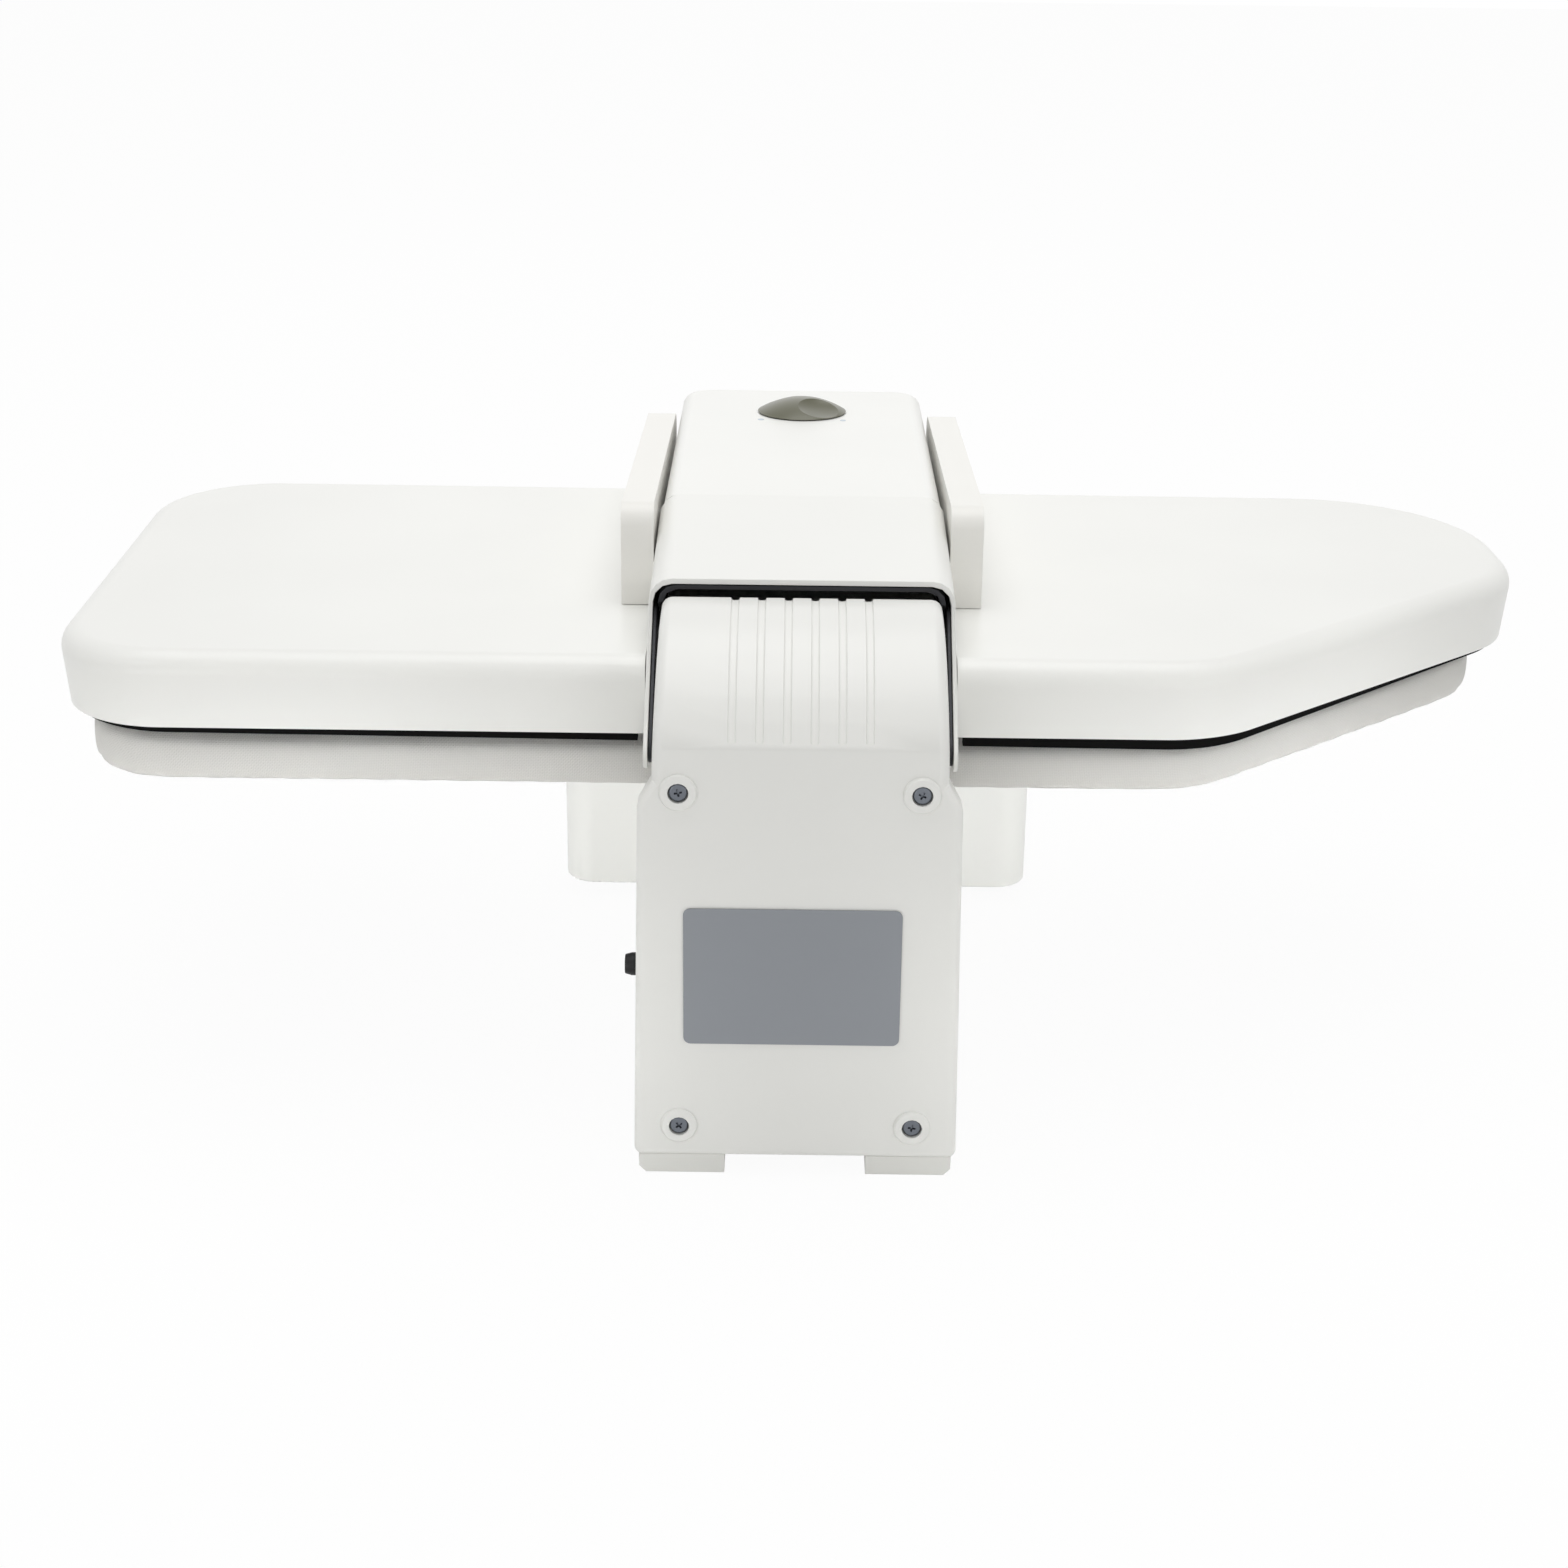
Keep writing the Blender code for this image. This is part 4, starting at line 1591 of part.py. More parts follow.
def build_cradle():
    """Bracket on the hood: two cheeks beside the arm, joined by a floor under it."""
    low = HOOD_TOP_Z + SEAT_GAP
    corners = [(CHEEK_FOOT_FRONT_Y, low), (CHEEK_REAR_Y, low), (CHEEK_REAR_Y, CHEEK_REAR_TOP_Z),
               (CHEEK_FRONT_Y, CHEEK_FRONT_TOP_Z), (CHEEK_FRONT_Y, low + CHEEK_FRONT_RISE)]
    radii = [CHEEK_FRONT_ROUND, SHARP, CHEEK_REAR_ROUND, CHEEK_FRONT_ROUND, CHEEK_FRONT_ROUND / 2]
    side_shape = fillet(corners, radii)
    cheeks = []
    for side in (1, -1):
        places = sorted((side * CHEEK_INNER, side * CHEEK_OUTER))
        cheek = prism("cradle", side_shape, "x", places[0], places[1], white_plastic())
        outer_x = side * CHEEK_OUTER
        round_edges(cheek, CHEEK_EDGE_ROUND, 2,
                    lambda edge, limit=outer_x: side_edge_facing(edge, least=NOT_DOWN_SHARE)
                    and abs(edge.verts[0].co.x - limit) < MIN_FILLET)
        cheeks.append(lean_cheek(cheek))
    cradle = cheeks[0]
    thickness = CRADLE_FLOOR_THICKNESS
    floor = rectangle(-HOOD_DEPTH * CRADLE_FLOOR_FRONT_SHARE, -HOOD_DEPTH * CRADLE_FLOOR_REAR_SHARE,
                      low + 2 * SEAT_GAP, low + 2 * SEAT_GAP + thickness)
    middle = (CHEEK_INNER + CHEEK_OUTER) / 2
    ledge_slope = (CHEEK_REAR_TOP_Z - CHEEK_FRONT_TOP_Z) / (CHEEK_REAR_Y - CHEEK_FRONT_Y)
    ledge_front = CHEEK_FRONT_Y + CHEEK_FRONT_ROUND
    ledge_top = CHEEK_REAR_TOP_Z - LEDGE_DROP
    ledge_low = low + SEAT_GAP
    ledge = [(CHEEK_FOOT_FRONT_Y, ledge_low), (LEDGE_REAR_Y, ledge_low),
             (LEDGE_REAR_Y, ledge_top - ledge_slope * (CHEEK_REAR_Y - LEDGE_REAR_Y)),
             (ledge_front, ledge_top - ledge_slope * (CHEEK_REAR_Y - ledge_front)),
             (ledge_front, ledge_low + CHEEK_FRONT_RISE)]
    for side, cheek in zip((1, -1), cheeks):
        places = sorted((side * LEDGE_INNER, side * (CHEEK_INNER + CHEEK_EDGE_ROUND)))
        unite(cheek, prism("ledge", ledge, "x", places[0], places[1], None))
    unite(cradle, prism("floor", floor, "x", -middle, middle, None), cheeks[1])
    for side in (1, -1):
        depth = CHEEK_OUTER - TILT_PIN_SINK
        reach = (depth - LEDGE_INNER) / 2 + OVERRUN / 2
        centre = (side * (depth - reach), TILT_Y, TILT_Z)
        cut(cradle, hole(centre, (1, 0, 0), TILT_PIN_RADIUS + SEAT_GAP, reach))
    return smooth(cradle)


def build_tilt_pin():
    """Pin through cheeks, box and arm frame on which the plate levels itself."""
    half = CHEEK_OUTER - TILT_PIN_SINK - SEAT_GAP
    return turned("tilt_pin", [(TILT_PIN_RADIUS, -half), (TILT_PIN_RADIUS, half)],
                  (0.0, TILT_Y, TILT_Z), (1, 0, 0), bright_steel(), 16)


# Assembly


def empty(name, place, parent):
    """An empty that carries pieces, placed in the press frame."""
    made = bpy.data.objects.new(name, None)
    bpy.context.collection.objects.link(made)
    made.parent = parent
    made.location = Vector(place) - Vector(parent["place"]) if parent else Vector(place)
    made["place"] = tuple(place)
    return made


def carry(parent, *pieces):
    """Parent pieces to an empty, so that their origins lie on it."""
    shift = Matrix.Translation(-Vector(parent["place"]))
    for piece in pieces:
        piece.data.transform(shift)
        piece.parent = parent


def main():
    for old in list(bpy.data.objects):
        bpy.data.objects.remove(old, do_unlink=True)
    press = empty("press_frame", (0.0, 0.0, 0.0), None)
    carry(press, build_chassis(), build_column_frame(), build_column_shell(),
          build_rear_cover(), *build_screws(), build_rating_plate(), build_pedestal(),
          build_front_housing(), *build_rear_feet(), *build_front_feet(),
          build_bracket("board_bracket_rear", BRACKET_REAR_Y),
          build_bracket("board_bracket_front", BRACKET_FRONT_Y), build_pan(), build_foam(),
          build_cover(), *build_bushes(), build_spring("spring_left", 1),
          build_spring("spring_right", -1), build_spring_anchor(), build_inlet_seat(),
          build_pump(), build_control_board(), build_switch(), build_grommet())
    arm = empty("arm_pivot", (0.0, PIVOT_Y, PIVOT_Z), press)
    carry(arm, build_shaft(), build_crank(), *build_hinge_plates(), build_arm_frame(),
          build_arm_cover(), build_control_box(), build_box_base(), build_tilt_pin(),
          build_thermostat(), *build_lamps())
    head = empty("tilt_axis", (0.0, TILT_Y, TILT_Z), arm)
    carry(head, build_hood(), build_cradle(), build_heating_plate(), build_chamber_lid(),
          build_element(), *build_spacers(), build_thermal_cutout())
    carry(empty("dial_axis", tuple(dial_seat()), arm), build_dial())
    carry(empty("steam_axis", (0.0, FRONT_Y, STEAM_BUTTON_Z), arm), build_steam_button())
    switch_x = column_half(SWITCH_Z, SHELL_INSET)
    carry(empty("switch_axis", (switch_x, SWITCH_Y, SWITCH_Z), press), build_power_button())
    carry(empty("tank_runner", (0.0, HOUSING_FRONT_Y, BAY_FLOOR_Z), press), build_tank(),
          build_tank_lid(), build_tank_valve())
    press.location = (hood_centring(), PRESS_SHIFT_Y, 0.0)
    bpy.context.view_layer.update()


main()
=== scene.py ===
"""Looks of the steam ironing press: finishes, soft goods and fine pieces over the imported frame.

The frame stands with its bottom centre at the origin, the column at +Y, the handle at -Y
and the pointed end of the board at -X. Units are metres.
"""
import functools
import json
import logging
import math
from collections.abc import Callable, Iterable
from dataclasses import dataclass, field
from enum import Enum

import bmesh
import bpy
import numpy as np
from mathutils import Matrix, Vector

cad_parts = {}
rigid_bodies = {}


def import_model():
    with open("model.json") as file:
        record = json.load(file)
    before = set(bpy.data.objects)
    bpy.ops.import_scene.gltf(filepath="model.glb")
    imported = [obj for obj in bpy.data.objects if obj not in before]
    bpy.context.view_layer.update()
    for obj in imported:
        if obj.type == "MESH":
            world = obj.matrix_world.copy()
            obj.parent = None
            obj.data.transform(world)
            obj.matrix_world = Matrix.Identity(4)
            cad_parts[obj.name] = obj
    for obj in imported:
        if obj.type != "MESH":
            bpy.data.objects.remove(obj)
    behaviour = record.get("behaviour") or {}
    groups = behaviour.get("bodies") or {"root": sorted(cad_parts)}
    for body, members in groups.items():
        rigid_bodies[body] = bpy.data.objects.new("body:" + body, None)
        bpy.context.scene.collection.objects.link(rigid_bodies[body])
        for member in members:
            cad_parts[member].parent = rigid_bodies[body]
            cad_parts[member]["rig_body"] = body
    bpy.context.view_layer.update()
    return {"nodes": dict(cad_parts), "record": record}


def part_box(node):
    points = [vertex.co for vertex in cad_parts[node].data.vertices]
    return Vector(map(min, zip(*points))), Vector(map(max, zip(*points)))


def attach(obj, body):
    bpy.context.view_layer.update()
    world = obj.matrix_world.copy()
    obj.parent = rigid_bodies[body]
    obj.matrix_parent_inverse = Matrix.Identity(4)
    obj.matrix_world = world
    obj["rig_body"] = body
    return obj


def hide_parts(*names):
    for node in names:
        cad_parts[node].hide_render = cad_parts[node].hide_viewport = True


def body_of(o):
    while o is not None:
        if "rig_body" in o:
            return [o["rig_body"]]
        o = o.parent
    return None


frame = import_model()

LOG = logging.getLogger("steam_press")
Colour = tuple[float, float, float]
Point = tuple[float, float, float]

# The press's middle across and its hood's rear edge, in the frame
AXIS_X = 0.007028
REAR_Y = 0.15115
# Distances that count as touching and as near, and how upright a level face's normal is
TOUCH = 1e-5
NEAR = 1e-4
LEVEL = 0.9
# Turn below which a corner counts as straight, and size of a disc before it is shaped
STRAIGHT = 1e-9
START_RADIUS = 0.2
# How much a large face outweighs a small one in the shading
NORMAL_WEIGHT = 80


class Body(Enum):
    """Bodies of the press that new pieces ride on."""

    BASE = "base"
    ARM = "arm"
    PLATE = "plate"
    DIAL = "dial"


def moved_out(outline: list[Vector], distance: float) -> list[Vector]:
    """Move a counter-clockwise outline outwards, with its corners kept sharp.

    Args:
        outline: Corners in plan.
        distance: How far out, or in where it is negative.

    Returns:
        The moved corners.
    """
    places = []
    for index, spot in enumerate(outline):
        before = (spot - outline[index - 1]).normalized()
        after = (outline[(index + 1) % len(outline)] - spot).normalized()
        outward = Vector((before.y + after.y, -before.x - after.x))
        places.append(spot + outward * distance / (1.0 + before.dot(after)))
    return places


# Shader groups


class ShaderGroup:
    """A shader node group that several finishes share."""

    def __init__(self, name: str) -> None:
        """Start an empty group.

        Args:
            name: Name of the group.
        """
        self.tree = bpy.data.node_groups.new(name, "ShaderNodeTree")
        self.entry = self.tree.nodes.new("NodeGroupInput")
        self.leave = self.tree.nodes.new("NodeGroupOutput")

    def take(self, name: str, kind: str, value: float | tuple[float, ...]) -> None:
        """Add an input socket.

        Args:
            name: Socket name.
            kind: Socket type, such as Float.
            value: Default value.
        """
        socket = self.tree.interface.new_socket(name=name, in_out="INPUT",
                                                socket_type=f"NodeSocket{kind}")
        socket.default_value = value

    def give(self, name: str, source: bpy.types.NodeSocket) -> None:
        """Add an output socket for a number and link it.

        Args:
            name: Socket name.
            source: What the group puts out there.
        """
        self.tree.interface.new_socket(name=name, in_out="OUTPUT",
                                       socket_type="NodeSocketFloat")
        self.feed(self.leave.inputs[name], source)

    def node(self, kind: str, **settings: object) -> bpy.types.Node:
        """Add a node inside the group.

        Args:
            kind: Node type without the ShaderNode prefix.
            **settings: Properties of the node.

        Returns:
            The node.
        """
        made = self.tree.nodes.new(f"ShaderNode{kind}")
        for key, value in settings.items():
            setattr(made, key, value)
        return made

    def feed(self, target: bpy.types.NodeSocket, value: object) -> None:
        """Link a socket to an input, or set the input to a number."""
        if isinstance(value, bpy.types.NodeSocket):
            self.tree.links.new(value, target)
        else:
            target.default_value = value

    def maths(self, operation: str, first: object, second: object = 0.0) -> bpy.types.NodeSocket:
        """Combine two numbers or sockets.

        Args:
            operation: Math operation.
            first: Socket or number.
            second: Socket or number.

        Returns:
            The result socket.
        """
        made = self.node("Math", operation=operation)
        self.feed(made.inputs[0], first)
        self.feed(made.inputs[1], second)
        return made.outputs[0]

    def noise(self, place: bpy.types.NodeSocket, scale: object, detail: float,
              distortion: float = 0.0) -> bpy.types.NodeSocket:
        """Add a noise pattern.

        Args:
            place: Coordinate socket.
            scale: Socket or number.
            detail: Count of finer layers.
            distortion: How far the pattern is warped.

        Returns:
            The pattern's socket.
        """
        made = self.node("TexNoise", noise_dimensions="3D")
        for name, value in (("Vector", place), ("Scale", scale), ("Detail", detail),
                            ("Distortion", distortion)):
            self.feed(made.inputs[name], value)
        return made.outputs["Fac"]


@functools.cache
def moulded_skin_group() -> bpy.types.NodeTree:
    """Build the skin of moulded plastic: fine grain, a slow tone drift and light handling marks.

    Returns:
        The group, with a height, a tone factor and a mask of handling marks.
    """
    group = ShaderGroup("moulded_skin")
    group.take("Grain Scale", "Float", 1400.0)
    group.take("Drift Scale", "Float", 9.0)
    group.take("Mark Amount", "Float", 0.2)
    entry = group.entry.outputs
    place = group.node("TexCoord").outputs["Object"]
    smears = group.node("ValToRGB")
    smears.color_ramp.elements[0].position = 0.55
    smears.color_ramp.elements[1].position = 0.75
    group.feed(smears.inputs["Fac"], group.noise(place, 38.0, 6.0, 1.2))
    group.give("Height", group.noise(place, entry["Grain Scale"], 3.0))
    group.give("Tone", group.noise(place, entry["Drift Scale"], 2.0))
    group.give("Marks", group.maths("MULTIPLY", smears.outputs["Color"], entry["Mark Amount"]))
    return group.tree


@functools.cache
def drawn_metal_group() -> bpy.types.NodeTree:
    """Build the skin of rolled or drawn metal: streaks along one direction and soft stains.

    Returns:
        The group, with streaks and stains. The streaks serve as its height too.
    """
    group = ShaderGroup("drawn_metal")
    group.take("Streak Scale", "Float", 900.0)
    group.take("Direction", "Vector", (0.03, 1.0, 1.0))
    entry = group.entry.outputs
    place = group.node("TexCoord").outputs["Object"]
    stretch = group.node("VectorMath", operation="MULTIPLY")
    group.feed(stretch.inputs[0], place)
    group.feed(stretch.inputs[1], entry["Direction"])
    group.give("Streaks", group.noise(stretch.outputs[0], entry["Streak Scale"], 4.0))
    group.give("Stains", group.noise(place, 24.0, 5.0))
    return group.tree


@functools.cache
def plain_weave_group() -> bpy.types.NodeTree:
    """Build a plain weave of warp and weft threads on the piece's own map.

    Returns:
        The group, with the threads' height.
    """
    group = ShaderGroup("plain_weave")
    group.take("Vector", "Vector", (0.0, 0.0, 0.0))
    group.take("Threads", "Float", 1400.0)
    scaled = group.node("VectorMath", operation="SCALE")
    group.feed(scaled.inputs[0], group.entry.outputs["Vector"])
    group.feed(scaled.inputs["Scale"], group.entry.outputs["Threads"])
    sides = group.node("SeparateXYZ")
    group.feed(sides.inputs[0], scaled.outputs[0])
    warp, weft = [group.maths("SINE", group.maths("MULTIPLY", side, math.pi))
                  for side in sides.outputs[:2]]
    over = group.maths("GREATER_THAN", group.maths("MULTIPLY", warp, weft), 0.0)
    under = group.maths("SUBTRACT", 1.0, over)
    seen = [group.maths("MULTIPLY", group.maths("ABSOLUTE", thread), mask)
            for thread, mask in ((warp, over), (weft, under))]
    group.give("Height", group.maths("ADD", *seen))
    return group.tree


# Finishes


class MaterialSheet:
    """A material under construction, with its Principled shader."""

    def __init__(self, name: str) -> None:
        """Start a material.

        Args:
            name: Material name.
        """
        self.material = bpy.data.materials.new(name)
        self.material.use_nodes = True
        self.nodes = self.material.node_tree.nodes
        self.links = self.material.node_tree.links
        self.shader = self.nodes["Principled BSDF"]

    def fixed(self, **values: float | tuple[float, ...]) -> None:
        """Set constant values on the shader's own sockets.

        Args:
            **values: Socket names with underscores for spaces, and their values.
        """
        for key, value in values.items():
            self.shader.inputs[key.replace("_", " ")].default_value = value

    def group(self, tree: bpy.types.NodeTree, **values: object) -> bpy.types.Node:
        """Place a shader group with its own values.

        Args:
            tree: The group.
            **values: Input values, with underscores for spaces.

        Returns:
            The group node.
        """
        made = self.nodes.new("ShaderNodeGroup")
        made.node_tree = tree
        for key, value in values.items():
            made.inputs[key.replace("_", " ")].default_value = value
        return made

    def tones(self, factor: bpy.types.NodeSocket, colour: Colour,
              shares: tuple[float, float],
              span: tuple[float, float] = (0.3, 0.7)) -> bpy.types.NodeSocket:
        """Blend a darker and a lighter tone of a colour by a factor.

        Args:
            factor: Factor socket.
            colour: Linear colour.
            shares: Brightness at the span's start and end.
            span: Where the blend starts and ends.

        Returns:
            The colour socket.
        """
        ramp = self.nodes.new("ShaderNodeValToRGB")
        for stop, place, share in zip(ramp.color_ramp.elements, span, shares):
            stop.position = place
            stop.color = (*(min(1.0, value * share) for value in colour), 1.0)
        self.links.new(factor, ramp.inputs["Fac"])
        return ramp.outputs["Color"]

    def roughen(self, factor: bpy.types.NodeSocket, low: float, high: float) -> None:
        """Spread the roughness over a range by a factor.

        Args:
            factor: Factor socket.
            low: Roughness at zero.
            high: Roughness at one.
        """
        made = self.nodes.new("ShaderNodeMapRange")
        made.inputs["To Min"].default_value = low
        made.inputs["To Max"].default_value = high
        self.links.new(factor, made.inputs["Value"])
        self.feed(made.outputs["Result"], "Roughness")

    def relief(self, height: bpy.types.NodeSocket, distance: float, strength: float) -> None:
        """Feed a height to the shader's normal.

        Args:
            height: Height socket.
            distance: Height of the relief in metres.
            strength: Strength from 0 to 1.
        """
        bump = self.nodes.new("ShaderNodeBump")
        bump.inputs["Distance"].default_value = distance
        bump.inputs["Strength"].default_value = strength
        self.links.new(height, bump.inputs["Height"])
        self.feed(bump.outputs["Normal"], "Normal")

    def feed(self, socket: bpy.types.NodeSocket, target: str) -> None:
        """Link a socket to an input of the shader."""
        self.links.new(socket, self.shader.inputs[target])


@dataclass(frozen=True)
class MouldedPlastic:
    """Moulded plastic with fine grain, slow tone drift and light handling marks."""

    name: str
    colour: Colour
    roughness: float = 0.35
    wear: float = 0.25
    tone_shares: tuple[float, float] = (0.985, 1.01)
    grain_scale: float = 1500.0
    grain_height: float = 0.00002
    grain_strength: float = 0.25
    marks: float = 0.25
    coat: float = 0.0
    coat_roughness: float = 0.12
    index: float = 1.5
    specular: float = 0.5

    def material(self) -> bpy.types.Material:
        """Build the material."""
        sheet = MaterialSheet(self.name)
        skin = sheet.group(moulded_skin_group(), Grain_Scale=self.grain_scale,
                           Mark_Amount=self.marks).outputs
        sheet.feed(sheet.tones(skin["Tone"], self.colour, self.tone_shares), "Base Color")
        sheet.roughen(skin["Marks"], self.roughness, self.roughness + self.wear)
        sheet.relief(skin["Height"], self.grain_height, self.grain_strength)
        sheet.fixed(Coat_Weight=self.coat, Coat_Roughness=self.coat_roughness,
                    IOR=self.index, Specular_IOR_Level=self.specular)
        return sheet.material


@dataclass(frozen=True)
class DrawnMetal:
    """Rolled, drawn or plated metal with streaks and soft stains."""

    name: str
    colour: Colour
    roughness: float = 0.35
    polish: float = 0.08
    wear: float = 0.12
    tone_shares: tuple[float, float] = (0.88, 1.05)
    metallic: float = 1.0
    direction: Point = (0.03, 1.0, 1.0)
    streak_scale: float = 900.0
    streak_height: float = 0.00002
    streak_strength: float = 0.35

    def material(self) -> bpy.types.Material:
        """Build the material."""
        sheet = MaterialSheet(self.name)
        skin = sheet.group(drawn_metal_group(), Streak_Scale=self.streak_scale,
                           Direction=self.direction).outputs
        sheet.feed(sheet.tones(skin["Stains"], self.colour, self.tone_shares), "Base Color")
        sheet.roughen(skin["Streaks"], self.roughness - self.polish, self.roughness + self.wear)
        sheet.relief(skin["Streaks"], self.streak_height, self.streak_strength)
        sheet.fixed(Metallic=self.metallic)
        return sheet.material


@dataclass(frozen=True)
class CoatedFabric:
    """Woven cover with a metallised coating."""

    name: str
    colour: Colour
    roughness: float = 0.62
    wear: float = 0.13
    tone_shares: tuple[float, float] = (0.94, 1.04)
    marks: float = 0.5
    grain_scale: float = 260.0
    threads: float = 1300.0
    thread_height: float = 0.00022
    thread_strength: float = 0.6
    # Brightness where the threads dip and where they rise: painted shade between the threads.
    thread_shade_shares: tuple[float, float] = (0.86, 1.0)
    thread_span: tuple[float, float] = (0.0, 0.8)
    sheen: float = 0.25
    sheen_roughness: float = 0.4

    def material(self) -> bpy.types.Material:
        """Build the material."""
        sheet = MaterialSheet(self.name)
        place = sheet.nodes.new("ShaderNodeTexCoord")
        weave = sheet.group(plain_weave_group(), Threads=self.threads)
        sheet.links.new(place.outputs["UV"], weave.inputs["Vector"])
        threads = weave.outputs["Height"]
        skin = sheet.group(moulded_skin_group(), Grain_Scale=self.grain_scale,
                           Mark_Amount=self.marks).outputs
        mix = sheet.nodes.new("ShaderNodeMix")
        mix.data_type = "RGBA"
        mix.blend_type = "MULTIPLY"
        mix.inputs["Factor"].default_value = 1.0
        sheet.links.new(sheet.tones(skin["Tone"], self.colour, self.tone_shares),
                        mix.inputs["A"])
        # The weave darkens the colour where the threads dip: painted shade between the threads.
        sheet.links.new(sheet.tones(threads, (1.0, 1.0, 1.0), self.thread_shade_shares,
                                    self.thread_span), mix.inputs["B"])
        sheet.feed(mix.outputs["Result"], "Base Color")
        sheet.roughen(skin["Marks"], self.roughness, self.roughness + self.wear)
        sheet.relief(threads, self.thread_height, self.thread_strength)
        sheet.fixed(Sheen_Weight=self.sheen, Sheen_Roughness=self.sheen_roughness)
        return sheet.material


@dataclass(frozen=True)
class ClearPlastic:
    """Tinted see-through plastic."""

    name: str
    colour: Colour
    roughness: float = 0.08
    wear: float = 0.2
    tone_shares: tuple[float, float] = (0.95, 1.03)
    marks: float = 0.6
    grain_scale: float = 420.0
    grain_height: float = 0.00003
    grain_strength: float = 0.2
    transmission: float = 0.75
    index: float = 1.49

    def material(self) -> bpy.types.Material:
        """Build the material."""
        sheet = MaterialSheet(self.name)
        skin = sheet.group(moulded_skin_group(), Grain_Scale=self.grain_scale,
                           Mark_Amount=self.marks).outputs
        sheet.feed(sheet.tones(skin["Tone"], self.colour, self.tone_shares), "Base Color")
        sheet.roughen(skin["Marks"], self.roughness, self.roughness + self.wear)
        sheet.relief(skin["Height"], self.grain_height, self.grain_strength)
        sheet.fixed(Transmission_Weight=self.transmission, IOR=self.index)
        return sheet.material


@dataclass
class FinishCard:
    """All finishes of the press by the name of the record's material slot."""

    made: dict[str, bpy.types.Material] = field(default_factory=dict)
    slot_of: dict[str, str] = field(default_factory=dict)

    def build(self) -> None:
        """Build every finish once."""
        cream = (0.868, 0.868, 0.838)
        finishes = [
            MouldedPlastic("white_plastic", cream, roughness=0.38, coat=0.06,
                           grain_scale=900.0, grain_height=0.000004, marks=0.03),
            # Column and rear cover: the white plastic made a little darker, as painted shade of
            # their upright faces.
            MouldedPlastic("shaded_column_white", (0.84, 0.84, 0.81), roughness=0.36, coat=0.04,
                           grain_scale=900.0, grain_height=0.000003, marks=0.03),
            # Cradle: the white plastic a little darker and warmer, as painted shade.
            MouldedPlastic("shaded_warm_white", (0.86, 0.85, 0.81), roughness=0.40, coat=0.04,
                           grain_scale=900.0, grain_height=0.000004, marks=0.03),
            MouldedPlastic("satin_plastic", (0.80, 0.80, 0.765), roughness=0.45),
            MouldedPlastic("black_plastic", (0.014, 0.014, 0.015), roughness=0.45,
                           specular=0.25),
            # Matte near-black for the strip under the hood's rim: painted shade of the gap.
            MouldedPlastic("painted_shade_black", (0.006, 0.006, 0.006), roughness=0.9,
                           specular=0.05),
            DrawnMetal("dark_steel", (0.045, 0.046, 0.05), roughness=0.45, metallic=0.85),
            DrawnMetal("screw_zinc", (0.17, 0.185, 0.21), roughness=0.32, metallic=0.9),
            MouldedPlastic("mark_grey", (0.62, 0.68, 0.74), roughness=0.5),
            DrawnMetal("bright_steel", (0.56, 0.57, 0.59), roughness=0.28),
            DrawnMetal("plate_coating", (0.06, 0.062, 0.066), roughness=0.38, metallic=0.4,
                       direction=(1.0, 1.0, 1.0), streak_scale=2200.0),
            DrawnMetal("chamber_steel", (0.55, 0.55, 0.56), roughness=0.4),
            DrawnMetal("element_sheath", (0.24, 0.23, 0.22), roughness=0.5),
            MouldedPlastic("ceramic", (0.72, 0.70, 0.63), roughness=0.6),
            DrawnMetal("pan_steel", (0.46, 0.47, 0.48), roughness=0.42, metallic=0.9),
            CoatedFabric("silver_fabric", (0.76, 0.75, 0.715)),
            MouldedPlastic("foam", (0.74, 0.71, 0.60), roughness=0.95, grain_scale=500.0,
                           grain_height=0.0003, grain_strength=0.8),
            MouldedPlastic("grey_plate", (0.275, 0.292, 0.318), roughness=0.42,
                           grain_scale=700.0, marks=0.3),
            DrawnMetal("bush_brass", (0.52, 0.40, 0.18), roughness=0.35),
            MouldedPlastic("foot_rubber", (0.05, 0.05, 0.05), roughness=0.8, marks=0.5),
            ClearPlastic("tank_plastic", (0.62, 0.72, 0.78)),
            ClearPlastic("tank_lid_plastic", (0.50, 0.58, 0.64), transmission=0.35),
            MouldedPlastic("pump_blue", (0.06, 0.13, 0.26), roughness=0.4),
            MouldedPlastic("circuit_green", (0.015, 0.10, 0.04), roughness=0.35, coat=0.5),
            MouldedPlastic("dial_grey", (0.105, 0.104, 0.062), roughness=0.30, coat=0.10,
                           grain_scale=700.0),
            MouldedPlastic("thermostat_body", (0.62, 0.60, 0.52), roughness=0.55),
            MouldedPlastic("button_grey", (0.33, 0.34, 0.35), roughness=0.4),
            ClearPlastic("lamp_power", (0.75, 0.05, 0.04), transmission=0.5),
            ClearPlastic("lamp_ready", (0.05, 0.55, 0.12), transmission=0.5),
        ]
        for finish in finishes:
            self.made[finish.name] = finish.material()
        LOG.info("finishes: %d", len(self.made))

    def dress_nodes(self) -> None:
        """Give each node of the frame the finish of its material slot."""
        self.slot_of = {entry["node"]: entry["material_slot"]
                        for entry in frame["record"]["subparts"]}
        for name, node in frame["nodes"].items():
            for index in range(len(node.data.materials)):
                node.data.materials[index] = self.made[self.slot_of[name]]
        LOG.info("dressed nodes: %d", len(self.slot_of))

    def __getitem__(self, name: str) -> bpy.types.Material:
        """Give a finish by its name."""
        return self.made[name]


# Bench work


class Pick(Enum):
    """Kinds of mesh element that can be selected in edit mode."""

    CORNERS = "VERT"
    EDGES = "EDGE"
    FACES = "FACE"


